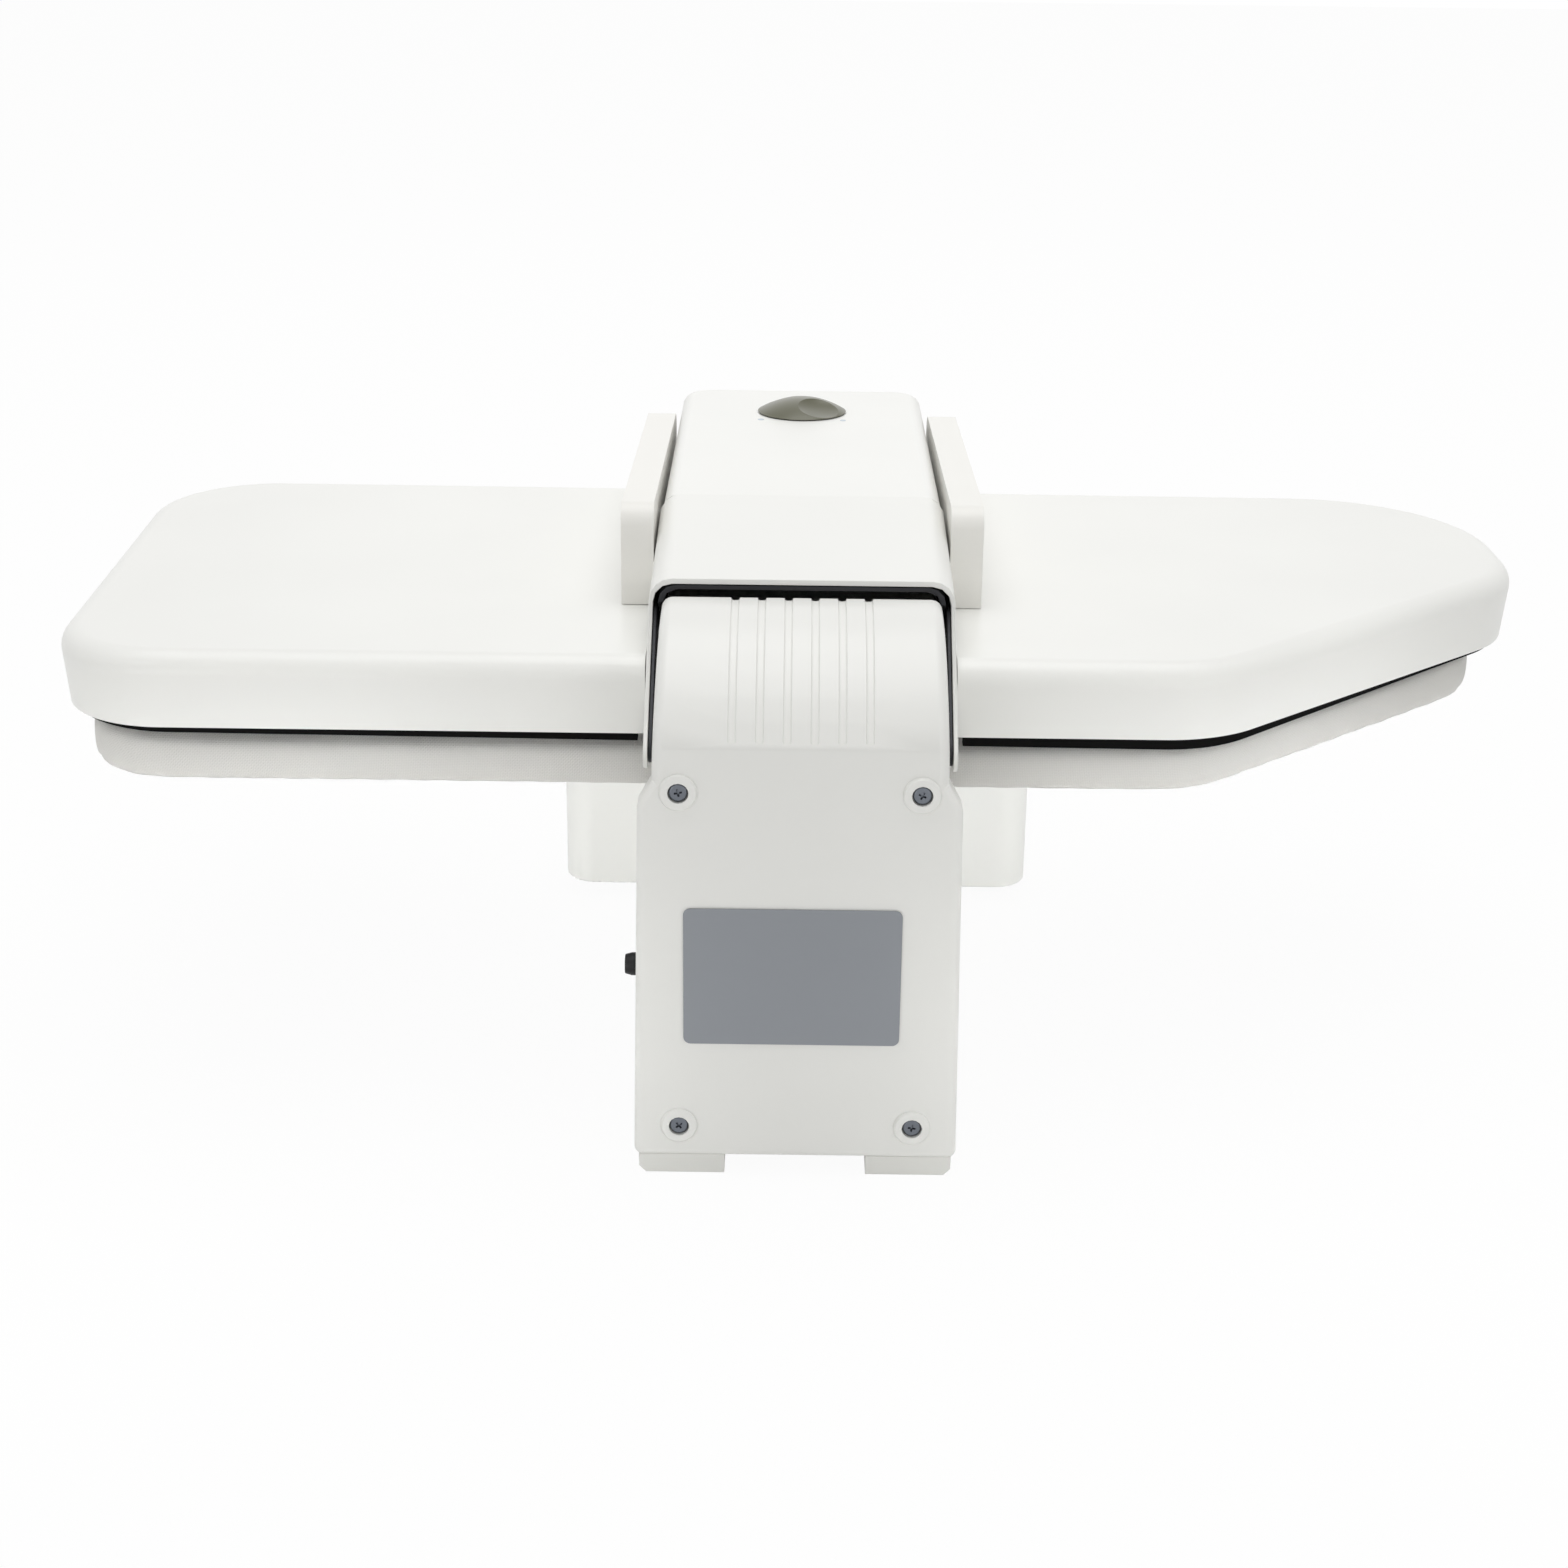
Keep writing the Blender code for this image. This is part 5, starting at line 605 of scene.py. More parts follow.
class Bench:
    """A piece on the bench, shaped with edit mode tools and finished with modifiers."""

    def __init__(self, name: str) -> None:
        """Take the primitive that was added last.

        Args:
            name: Name of the piece.
        """
        self.piece = bpy.context.object
        self.piece.name = name
        self.piece.data.name = name
        self.settle()

    @staticmethod
    def clear() -> None:
        """Leave edit mode and deselect everything."""
        active = bpy.context.object
        if active is not None and active.mode != "OBJECT":
            bpy.ops.object.mode_set(mode="OBJECT")
        bpy.ops.object.select_all(action="DESELECT")

    @staticmethod
    def copy_of(name: str, mesh: bpy.types.Mesh, place: Matrix = Matrix()) -> "Bench":
        """Put a copy of a mesh on the bench.

        Args:
            name: Name of the piece.
            mesh: The mesh to copy.
            place: Where the copy is moved.

        Returns:
            The copy.
        """
        made = bpy.data.objects.new("piece", mesh.copy())
        made.data.transform(place)
        bpy.context.scene.collection.objects.link(made)
        Bench.clear()
        bpy.context.view_layer.objects.active = made
        return Bench(name)

    @staticmethod
    def disc(name: str, radius: float, corners: int, height: float) -> "Bench":
        """Draw a disc out to a low drum.

        Args:
            name: Name of the piece.
            radius: Its radius.
            corners: Count of corners round it.
            height: Its height above the origin.

        Returns:
            The drum on the bench, in edit mode.
        """
        bpy.ops.mesh.primitive_circle_add(vertices=corners, radius=radius, fill_type="NGON",
                                          location=(0.0, 0.0, 0.0))
        bench = Bench(name)
        bench.open()
        bench.pick_all()
        bench.extrude((0.0, 0.0, height))
        bench.outwards()
        return bench

    @staticmethod
    def block(name: str, middle: Point, sizes: Point) -> "Bench":
        """Put a box on the bench.

        Args:
            name: Name of the piece.
            middle: Its middle.
            sizes: Its lengths along the axes.

        Returns:
            The box.
        """
        bpy.ops.mesh.primitive_cube_add(size=1.0, location=middle, scale=sizes)
        return Bench(name)

    def take(self) -> None:
        """Make this piece the only selected one, in object mode."""
        Bench.clear()
        self.piece.select_set(True)
        bpy.context.view_layer.objects.active = self.piece

    def settle(self) -> None:
        """Put the object's place, turn and size into its mesh."""
        self.take()
        bpy.ops.object.transform_apply(location=True, rotation=True, scale=True)

    def open(self) -> None:
        """Start edit mode with nothing selected."""
        self.take()
        bpy.ops.object.mode_set(mode="EDIT")
        bpy.ops.mesh.select_mode(type=Pick.FACES.value)
        bpy.ops.mesh.select_all(action="DESELECT")

    def close(self) -> None:
        """End edit mode."""
        bpy.ops.object.mode_set(mode="OBJECT")

    def pick(self, kind: Pick, wanted: Callable[[Vector, Vector], bool]) -> None:
        """Select elements by their place and normal.

        Args:
            kind: Kind of element.
            wanted: Test of an element's middle and normal.
        """
        bpy.ops.mesh.select_mode(type=kind.value)
        bpy.ops.mesh.select_all(action="DESELECT")
        shape = bmesh.from_edit_mesh(self.piece.data)
        shape.normal_update()
        for item in {Pick.CORNERS: shape.verts, Pick.EDGES: shape.edges,
                     Pick.FACES: shape.faces}[kind]:
            if kind is Pick.CORNERS:
                middle, normal = item.co, item.normal
            elif kind is Pick.EDGES:
                middle = (item.verts[0].co + item.verts[1].co) / 2
                normal = sum((face.normal for face in item.link_faces), Vector()).normalized()
            else:
                middle, normal = item.calc_center_median(), item.normal
            if wanted(middle, normal):
                item.select_set(True)
        shape.select_flush_mode()
        bmesh.update_edit_mesh(self.piece.data)

    def pick_all(self) -> None:
        """Select every face."""
        self.pick(Pick.FACES, lambda middle, normal: True)

    @staticmethod
    def rounded_plate(name: str, places: list[Vector], radii: list[float],
                      steps: int) -> "Bench":
        """Shape a disc with few corners into a flat outline with rounded corners.

        Args:
            name: Name of the piece.
            places: Corners of the outline, in order, all at one level.
            radii: Radius of each corner, or zero for a sharp one.
            steps: Count of steps in each round.

        Returns:
            The face on the bench, in edit mode.
        """
        count = len(places)
        bpy.ops.mesh.primitive_circle_add(vertices=count, radius=START_RADIUS,
                                          fill_type="NGON", location=(0.0, 0.0, places[0].z))
        bench = Bench(name)
        starts = [vertex.co.copy() for vertex in bench.piece.data.vertices]
        bench.open()
        for start, place in zip(starts, places):
            bench.pick(Pick.CORNERS, lambda middle, _, at=start: (middle - at).length < TOUCH)
            bench.move(tuple(place - start))
        for index, (place, radius) in enumerate(zip(places, radii)):
            if radius <= 0.0:
                continue
            before = (place - places[index - 1]).normalized()
            after = (places[(index + 1) % count] - place).normalized()
            half_turn = before.angle(after) / 2
            fullness = (1.0 - 0.5 / (1.0 + math.cos(half_turn))) ** 2
            bench.pick(Pick.CORNERS, lambda middle, _, at=place: (middle - at).length < TOUCH)
            bench.bevel(radius * math.tan(half_turn), steps, fullness, corners_only=True)
        return bench

    def move(self, by: Point) -> None:
        """Move what is selected."""
        bpy.ops.transform.translate(value=by)

    def extrude(self, by: Point) -> None:
        """Extrude the selected faces and move them."""
        bpy.ops.mesh.extrude_region_move(TRANSFORM_OT_translate={"value": by})

    def bevel(self, width: float, segments: int, profile: float = 0.5,
              corners_only: bool = False) -> None:
        """Round the selected edges or corners.

        Args:
            width: Distance that the round starts from the edge.
            segments: Count of its steps.
            profile: Shape from hollow to full.
            corners_only: Whether corners are rounded in place of edges.
        """
        bpy.ops.mesh.bevel(offset_type="OFFSET", offset=width, segments=segments,
                           profile=profile, affect="VERTICES" if corners_only else "EDGES",
                           clamp_overlap=True)

    def outwards(self) -> None:
        """Merge doubles and turn all faces of a closed shape outwards."""
        bpy.ops.mesh.select_all(action="SELECT")
        bpy.ops.mesh.remove_doubles(threshold=TOUCH / 10)
        bpy.ops.mesh.normals_make_consistent(inside=False)
        bpy.ops.mesh.select_all(action="DESELECT")

    def modify(self, kind: str, **settings: object) -> None:
        """Add a modifier with its settings and apply it.

        Args:
            kind: Modifier type.
            **settings: Properties of the modifier.
        """
        self.take()
        step = self.piece.modifiers.new(kind.lower(), kind)
        for key, value in settings.items():
            setattr(step, key, value)
        bpy.ops.object.modifier_apply(modifier=step.name)

    def carve(self, tool: "Bench", operation: str = "DIFFERENCE") -> None:
        """Cut, join or intersect with another piece, which is used up.

        Args:
            tool: The other piece.
            operation: Boolean operation.
        """
        self.modify("BOOLEAN", operation=operation, solver="EXACT", object=tool.piece)
        spent = tool.piece.data
        bpy.data.objects.remove(tool.piece)
        bpy.data.meshes.remove(spent)

    def smooth(self, degrees: float = 35.0) -> None:
        """Shade smoothly, with creases where faces meet at more than an angle."""
        self.take()
        bpy.ops.object.shade_smooth_by_angle(angle=math.radians(degrees))
        self.modify("WEIGHTED_NORMAL", keep_sharp=True, weight=NORMAL_WEIGHT)

    def hand_over(self, finish: bpy.types.Material, slot: str, body: str,
                  replaced: Iterable[str] = ()) -> bpy.types.Object:
        """Dress the piece and mount it on its body.

        Args:
            finish: Material.
            slot: Material slot of the record; not used.
            body: Body that the piece rides on.
            replaced: Nodes of the frame that it stands for.

        Returns:
            The finished object.
        """
        self.piece.data.materials.clear()
        self.piece.data.materials.append(finish)
        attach(self.piece, body)
        names = list(replaced)
        if names:
            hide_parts(*names)
        LOG.info("%s: %d faces on %s", self.piece.name, len(self.piece.data.polygons), body)
        Bench.clear()
        return self.piece


# Pieces of the press


@dataclass
class SmoothedNode:
    """A rigid node with its loose faces merged, its sharp edges broken and even shading."""

    node: str
    edge_round: float = 0.0003
    finish: str = ""
    steps: int = 2
    round_from: float = 50.0
    smooth_to: float = 40.0
    flat_within: float = 0.4

    def build(self, finishes: "FinishCard") -> bpy.types.Object:
        """Build the piece from a copy of the node's mesh.

        Args:
            finishes: The finishes of the press.

        Returns:
            The piece.
        """
        source = frame["nodes"][self.node]
        bench = Bench.copy_of(f"finished_{self.node}", source.data)
        bench.open()
        bpy.ops.mesh.select_all(action="SELECT")
        bpy.ops.mesh.remove_doubles(threshold=TOUCH)
        bpy.ops.mesh.dissolve_limited(angle_limit=math.radians(self.flat_within))
        bench.close()
        if self.edge_round > 0.0:
            bench.modify("BEVEL", width=self.edge_round, segments=self.steps,
                         limit_method="ANGLE",
                         angle_limit=math.radians(self.round_from), use_clamp_overlap=True,
                         miter_outer="MITER_ARC")
        bench.smooth(self.smooth_to)
        slot = finishes.slot_of[self.node]
        body = body_of(source)[0]
        return bench.hand_over(finishes[self.finish or slot], slot, body, [self.node])


@dataclass
class Hood:
    """Moulded cover over the heating plate: a shell that is open below, with a rear pocket."""

    corners: tuple[tuple[float, float, float], ...] = (
        (0.3247, 0.0, 0.052), (-0.1797, 0.0, 0.063), (-0.3427, -0.1474, 0.063),
        (-0.3427, -0.2855, 0.0896), (0.3297, -0.2920, 0.060),
    )
    corner_steps: int = 24
    rim: float = 0.1825
    height: float = 0.0338
    edge_round: float = 0.0105
    edge_steps: int = 10
    tuck: float = 0.0020
    lean: float = 0.0009
    wall: float = 0.0026
    pocket_half: float = 0.0663
    pocket_depth: float = 0.040
    pocket_floor: float = 0.1906
    lip_depth: float = 0.0036
    lip_round: float = 0.0006
    overrun: float = 0.004
    crease_from: float = 30.0
    round_from: float = 50.0

    @property
    def top(self) -> float:
        """Level of the hood's top."""
        return self.rim + self.height

    def outline(self, name: str) -> Bench:
        """Lay out the top face, which the walls' lean makes a little larger.

        Args:
            name: Name of the piece.

        Returns:
            The face on the bench, in edit mode.
        """
        plan = [Vector((x + AXIS_X, y + REAR_Y)) for x, y, _ in self.corners]
        places = [Vector((spot.x, spot.y, self.top)) for spot in moved_out(plan, self.lean)]
        radii = [radius for _, _, radius in self.corners]
        return Bench.rounded_plate(name, places, radii, self.corner_steps)

    def shell(self) -> Bench:
        """Draw the outline out to a closed block with rounded top edges.

        Returns:
            The block on the bench.
        """
        bench = self.outline("hood_shell")
        bench.pick_all()
        bpy.ops.mesh.inset(thickness=self.tuck + self.lean, depth=0.0)
        bench.move((0.0, 0.0, -self.height))
        bench.pick(Pick.EDGES, lambda middle, _: middle.z > self.top - TOUCH)
        bpy.ops.mesh.edge_face_add()
        bench.outwards()
        bench.pick(Pick.EDGES, lambda middle, _: middle.z > self.top - TOUCH)
        bench.bevel(self.edge_round, self.edge_steps)
        bench.outwards()
        bench.close()
        return bench

    def pocket_tool(self, depth: float, low: float) -> Bench:
        """Make a tool that clears the pocket's width down to a level.

        Args:
            depth: How far it reaches in from the rear.
            low: Its lowest level.

        Returns:
            The tool.
        """
        high = self.top + self.overrun
        middle = (AXIS_X, REAR_Y + (self.overrun - depth) / 2, (low + high) / 2)
        return Bench.block("pocket_tool", middle,
                           (2 * self.pocket_half, depth + self.overrun, high - low))

    def build(self, finishes: "FinishCard") -> bpy.types.Object:
        """Build and dress the hood.

        Args:
            finishes: The finishes of the press.

        Returns:
            The hood.
        """
        bench = self.shell()
        bench.carve(self.pocket_tool(self.pocket_depth, self.pocket_floor))
        bench.carve(self.pocket_tool(self.lip_depth, self.rim - self.overrun))
        bench.open()
        bench.pick(Pick.FACES, lambda middle, normal: normal.z < -LEVEL
                   and middle.z < self.rim + NEAR)
        bpy.ops.mesh.delete(type="FACE")
        bench.close()
        bench.modify("SOLIDIFY", thickness=self.wall, offset=-1.0, use_even_offset=True)
        bench.modify("BEVEL", width=self.lip_round, segments=3, limit_method="ANGLE",
                     angle_limit=math.radians(self.round_from), use_clamp_overlap=True,
                     miter_outer="MITER_ARC")
        bench.smooth(self.crease_from)
        return bench.hand_over(finishes["white_plastic"], "white_plastic", Body.PLATE.value,
                               ["hood"])


@dataclass
class RimShadeStrip:
    """Dark strip inside the hood's rim that paints the gap under the rim black as painted shade,
    with a lower edge that follows the cover.
    """

    gap: float = 0.0033
    width: float = 0.0055
    top: float = 0.1842
    depth: float = 0.0040
    levels: tuple[tuple[float, float], ...] = (
        (-0.34, 0.1799), (-0.27, 0.1796), (-0.19, 0.1774), (-0.17, 0.1769), (-0.08, 0.1769),
        (0.066, 0.1799), (0.163, 0.1799), (0.195, 0.1790), (0.276, 0.1790), (0.312, 0.1801),
        (0.34, 0.1803),
    )
    opening: Point = (0.140, 0.030, 0.030)
    crease_from: float = 30.0

    def build(self, hood: Hood, finishes: "FinishCard") -> bpy.types.Object:
        """Build the dark strip of painted shade from the hood's outline, open where the column's
        neck passes.

        Args:
            hood: The hood that it lies in.
            finishes: The finishes of the press.

        Returns:
            The seal.
        """
        bench = hood.outline("hood_rim_shade")
        bench.pick_all()
        bpy.ops.mesh.inset(thickness=hood.tuck + hood.lean + self.gap, depth=0.0)
        bench.move((0.0, 0.0, self.top - hood.top))
        bpy.ops.mesh.inset(thickness=self.width, depth=0.0)
        bpy.ops.mesh.delete(type="FACE")
        bench.pick(Pick.FACES, lambda middle, _: middle.z > self.top + NEAR)
        bpy.ops.mesh.delete(type="FACE")
        bench.pick_all()
        bench.extrude((0.0, 0.0, -self.depth))
        bench.outwards()
        bench.close()
        for vertex in bench.piece.data.vertices:
            if vertex.co.z < self.top - self.depth / 2:
                vertex.co.z = float(np.interp(vertex.co.x, *zip(*self.levels)))
        bench.carve(Bench.block("rim_shade_opening", (AXIS_X, REAR_Y, self.top), self.opening))
        bench.smooth(self.crease_from)
        # Near-black matte strip: painted shade in the gap under the hood's rim.
        return bench.hand_over(finishes["painted_shade_black"], "black_plastic", Body.PLATE.value)


@dataclass
class Cradle:
    """Bracket on the hood: two thick cheeks beside the arm, joined by a floor under it."""

    corners: tuple[tuple[float, float, float], ...] = (
        (-0.27594, 0.2166, 0.012), (-0.07796, 0.2166, 0.0), (-0.07796, 0.2625, 0.009),
        (-0.316, 0.2503, 0.012), (-0.316, 0.2326, 0.007),
    )
    corner_steps: int = 10
    inner: float = 0.0664
    outer: float = 0.0810
    outer_round: float = 0.0062
    outer_steps: int = 6
    inner_round: float = 0.0012
    inner_steps: int = 4
    floor_span: tuple[float, float] = (-0.2701, -0.1299)
    floor_low: float = 0.2172
    floor_thickness: float = 0.0030
    floor_round: float = 0.0004
    floor_steps: int = 2
    crease_from: float = 35.0

    def cheek(self) -> Bench:
        """Model one cheek lying flat, its outer face up.

        Returns:
            The cheek.
        """
        places = [Vector((y, z, self.inner)) for y, z, _ in self.corners]
        bench = Bench.rounded_plate("cradle_cheek", places,
                                    [radius for _, _, radius in self.corners],
                                    self.corner_steps)
        bench.pick_all()
        bench.extrude((0.0, 0.0, self.outer - self.inner))
        bench.outwards()
        above_foot = min(z for _, z, _ in self.corners) + NEAR
        for side, level, radius, steps in ((1, self.outer, self.outer_round, self.outer_steps),
                                           (-1, self.inner, self.inner_round, self.inner_steps)):
            bench.pick(Pick.EDGES, lambda middle, _: middle.y > above_foot
                       and side * (middle.z - level) > -TOUCH)
            bench.bevel(radius, steps)
        bench.outwards()
        bench.close()
        return bench

    def build(self, finishes: "FinishCard") -> bpy.types.Object:
        """Build the cradle: a cheek, its mirrored copy and the floor, made one.

        Args:
            finishes: The finishes of the press.

        Returns:
            The cradle.
        """
        bench = self.cheek()
        stand = Matrix(((0.0, 0.0, 1.0, AXIS_X), (1.0, 0.0, 0.0, REAR_Y),
                        (0.0, 1.0, 0.0, 0.0), (0.0, 0.0, 0.0, 1.0)))
        mirrored = Matrix.Diagonal((1.0, 1.0, -1.0, 1.0))
        twin = Bench.copy_of("cradle_twin", bench.piece.data, stand @ mirrored)
        twin.piece.data.flip_normals()
        bench.piece.data.transform(stand)
        front, rear = (place + REAR_Y for place in self.floor_span)
        floor = Bench.block(
            "cradle_floor",
            (AXIS_X, (front + rear) / 2, self.floor_low + self.floor_thickness / 2),
            (2 * (self.inner + self.inner_round), rear - front, self.floor_thickness))
        floor.modify("BEVEL", width=self.floor_round, segments=self.floor_steps)
        bench.carve(floor, "UNION")
        bench.carve(twin, "UNION")
        bench.smooth(self.crease_from)
        bench.piece.name = "finished_cradle"
        # Darker, warmer copy of the white plastic: painted shade.
        return bench.hand_over(finishes["shaded_warm_white"], "white_plastic", Body.PLATE.value,
                               ["cradle"])


@dataclass
class BoardCover:
    """Padded cover of the lower board: drawn over the edge, gathered and hemmed below."""

    start_shrink: float = 0.0003
    voxel: float = 0.0042
    pressure: float = 4.0
    cloth_quality: int = 4
    last_frame: int = 20
    reach: float = 0.0022
    relaxing: float = 0.5
    top_level: float = 0.1791
    low_level: float = 0.1518
    edge_drop: float = 0.0030
    end_rise: float = 0.0046
    end_start: float = 0.235
    end_stop: float = 0.315
    hem_width: float = 0.026
    low_reach: float = 0.004
    thickness: float = 0.0011
    skirt_slope: float = 0.6
    under_slope: float = 0.5
    gather_height: float = 0.0009
    gather_pitch: float = 0.019
    gather_wander: tuple[float, float] = (1.7, 13.0)
    drift_height: float = 0.0007
    drift_waves: tuple[float, float] = (14.0, 5.3)
    drift_start: float = 0.8
    crease_from: float = 60.0
    softness: float = 0.6
    hem_radius: float = 0.0011
    hem_steps: int = 3
    plan: list[Vector] = field(default_factory=list)

    def block(self) -> Bench:
        """Wrap the space of the cover's solid in a closed convex block.

        Returns:
            The block, a little smaller than the solid.
        """
        bench = Bench.copy_of("board_cover_fabric", frame["nodes"]["board_cover"].data)
        bench.open()
        bpy.ops.mesh.select_all(action="SELECT")
        bpy.ops.mesh.remove_doubles(threshold=TOUCH)
        bpy.ops.mesh.convex_hull()
        bench.outwards()
        bench.close()
        self.lay_plan(bench.piece.data)
        middle = sum((vertex.co for vertex in bench.piece.data.vertices), Vector())
        middle /= len(bench.piece.data.vertices)
        for vertex in bench.piece.data.vertices:
            away = Vector((vertex.co.x - middle.x, vertex.co.y - middle.y, 0.0)).normalized()
            vertex.co -= away * self.start_shrink
        return bench

    def lay_plan(self, mesh: bpy.types.Mesh) -> None:
        """Keep the cover's outline in plan, counter-clockwise.

        Args:
            mesh: The convex block.
        """
        flat = sorted({(round(vertex.co.x, 5), round(vertex.co.y, 5))
                       for vertex in mesh.vertices})
        for points in (flat, flat[::-1]):
            chain: list[Vector] = []
            for x, y in points:
                spot = Vector((x, y))
                while len(chain) > 1:
                    side, step = chain[-1] - chain[-2], spot - chain[-1]
                    if side.x * step.y - side.y * step.x > STRAIGHT:
                        break
                    chain.pop()
                chain.append(spot)
            self.plan += chain[:-1]

    def from_edge(self, places: np.ndarray) -> tuple[np.ndarray, np.ndarray, np.ndarray]:
        """Measure points against the outline in plan.

        Args:
            places: The points, a row of coordinates each.

        Returns:
            Distances inside the outline, lengths along it, and inward directions.
        """
        starts = np.array([tuple(spot) for spot in self.plan])
        sides = np.roll(starts, -1, axis=0) - starts
        lengths = np.linalg.norm(sides, axis=1)
        inner = np.stack([-sides[:, 1], sides[:, 0]], axis=1) / lengths[:, None]
        away = places[:, None, :2] - starts[None]
        share = np.clip((away * sides).sum(axis=2) / lengths ** 2, 0.0, 1.0)
        gaps = np.linalg.norm(away - sides * share[..., None], axis=2)
        nearest = gaps.argmin(axis=1)
        rows = np.arange(len(places))
        signs = np.where((away[rows, nearest] * inner[nearest]).sum(axis=1) < 0.0, -1.0, 1.0)
        walked = np.concatenate([[0.0], np.cumsum(lengths)[:-1]])
        along = walked[nearest] + share[rows, nearest] * lengths[nearest]
        return signs * gaps[rows, nearest], along, inner[nearest]

    @staticmethod
    def read_places(mesh: bpy.types.Mesh) -> np.ndarray:
        """Read the places of a mesh's vertices, a row each."""
        places = np.empty(3 * len(mesh.vertices))
        mesh.vertices.foreach_get("co", places)
        return places.reshape(-1, 3)

    def puff(self, bench: Bench) -> None:
        """Blow the block up like a stuffed cover and limit how far it swells.

        Args:
            bench: The block, already remeshed.
        """
        piece = bench.piece
        before = [(vertex.co.copy(), vertex.normal.copy()) for vertex in piece.data.vertices]
        cloth = piece.modifiers.new("air", "CLOTH")
        cloth.settings.quality = self.cloth_quality
        cloth.settings.use_pressure = True
        cloth.settings.uniform_pressure_force = self.pressure
        cloth.settings.effector_weights.gravity = 0.0
        cloth.collision_settings.use_collision = False
        cloth.point_cache.frame_start = 1
        cloth.point_cache.frame_end = self.last_frame
        scene = bpy.context.scene
        for number in range(1, self.last_frame + 1):
            scene.frame_set(number)
        graph = bpy.context.evaluated_depsgraph_get()
        swollen = [vertex.co.copy() for vertex in piece.evaluated_get(graph).data.vertices]
        piece.modifiers.clear()
        scene.frame_set(1)
        for vertex, (old, outward), new in zip(piece.data.vertices, before, swollen):
            swell = (new - old).dot(outward)
            vertex.co = old + outward * max(0.0, min(self.reach, swell))

    def settle_form(self, bench: Bench) -> None:
        """Raise the shoulder, gather the lower edge and lay the form flat where it rests.

        Args:
            bench: The puffed form.
        """
        mesh = bench.piece.data
        places = self.read_places(mesh)
        inside, along, inward = self.from_edge(places)
        upper = np.clip((places[:, 2] - self.low_level)
                        / (self.top_level - self.low_level), 0.0, 1.0)
        rim = np.clip(1.0 - np.maximum(inside, 0.0) / self.hem_width, 0.0, 1.0)
        wander = self.gather_wander[0] * np.sin(along * self.gather_wander[1])
        wave = np.sin(along / self.gather_pitch * math.tau + wander)
        fold = (wave - 1.0) / 2.0 * self.gather_height * rim * (1.0 - upper) ** 2
        places[:, :2] += inward * fold[:, None]
        first, second = self.drift_waves
        drift = np.sin(along * first + self.drift_start) * np.sin(along * second)
        ends = np.clip((np.abs(places[:, 0]) - self.end_start)
                       / (self.end_stop - self.end_start), 0.0, 1.0)
        lift = self.end_rise * ends ** 2 - self.edge_drop + self.drift_height * drift
        places[:, 2] += lift * rim * upper
        places[:, 2] = np.clip(places[:, 2], self.low_level, self.top_level)
        mesh.vertices.foreach_set("co", places.ravel())
        mesh.update()

    def open_below(self, bench: Bench) -> None:
        """Open the underside within a clean hem line.

        Args:
            bench: The form.
        """
        mesh = bench.piece.data
        middles = np.array([tuple(face.center) for face in mesh.polygons])
        deep = self.from_edge(middles)[0] > self.hem_width
        low = middles[:, 2] < self.low_level + self.low_reach
        faces_down = np.array([face.normal.z < -self.under_slope for face in mesh.polygons])
        bench.open()
        shape = bmesh.from_edit_mesh(mesh)
        shape.faces.ensure_lookup_table()
        for index in np.flatnonzero(deep & low & faces_down):
            shape.faces[index].select_set(True)
        bmesh.update_edit_mesh(mesh)
        bpy.ops.mesh.delete(type="FACE")
        shape = bmesh.from_edit_mesh(mesh)
        rim = [vertex for vertex in shape.verts if vertex.is_boundary]
        inside, _, inward = self.from_edge(np.array([tuple(vertex.co) for vertex in rim]))
        for vertex, distance, inner in zip(rim, inside, inward):
            vertex.co.x += inner[0] * (self.hem_width - distance)
            vertex.co.y += inner[1] * (self.hem_width - distance)
        bmesh.update_edit_mesh(mesh)
        bench.close()

    def map_weave(self, mesh: bpy.types.Mesh) -> None:
        """Lay the weave flat on top and unrolled down the skirt.

        Args:
            mesh: The fabric.
        """
        places = self.read_places(mesh)
        inside, along, _ = self.from_edge(places)
        corners = np.empty(len(mesh.loops), dtype=np.int64)
        mesh.loops.foreach_get("vertex_index", corners)
        sizes = np.array([face.loop_total for face in mesh.polygons])
        slopes = np.repeat([face.normal.z for face in mesh.polygons], sizes)
        drop = self.top_level - places[corners, 2]
        drop += np.where(slopes < -self.skirt_slope, np.maximum(inside[corners], 0.0), 0.0)
        skirt = np.stack([along[corners], drop], axis=1)
        flat = places[corners, :2]
        spots = np.where((slopes < self.skirt_slope)[:, None], skirt, flat)
        layer = mesh.uv_layers.new(name="weave")
        layer.data.foreach_set("uv", spots.ravel())

    def build_fabric(self, finishes: "FinishCard") -> bpy.types.Object:
        """Build the padded cover.

        Args:
            finishes: The finishes of the press.

        Returns:
            The cover.
        """
        bench = self.block()
        bench.modify("REMESH", mode="VOXEL", voxel_size=self.voxel, use_smooth_shade=True)
        self.puff(bench)
        bench.modify("SMOOTH", factor=self.relaxing, iterations=1)
        self.settle_form(bench)
        bench.modify("SUBSURF", levels=1, render_levels=1)
        self.open_below(bench)
        bench.modify("SOLIDIFY", thickness=self.thickness, offset=-1.0, use_even_offset=False)
        self.map_weave(bench.piece.data)
        bench.smooth(self.crease_from)
        made = bench.hand_over(finishes["silver_fabric"], "silver_fabric", Body.BASE.value,
                               ["board_cover", "board_foam"])
        return made

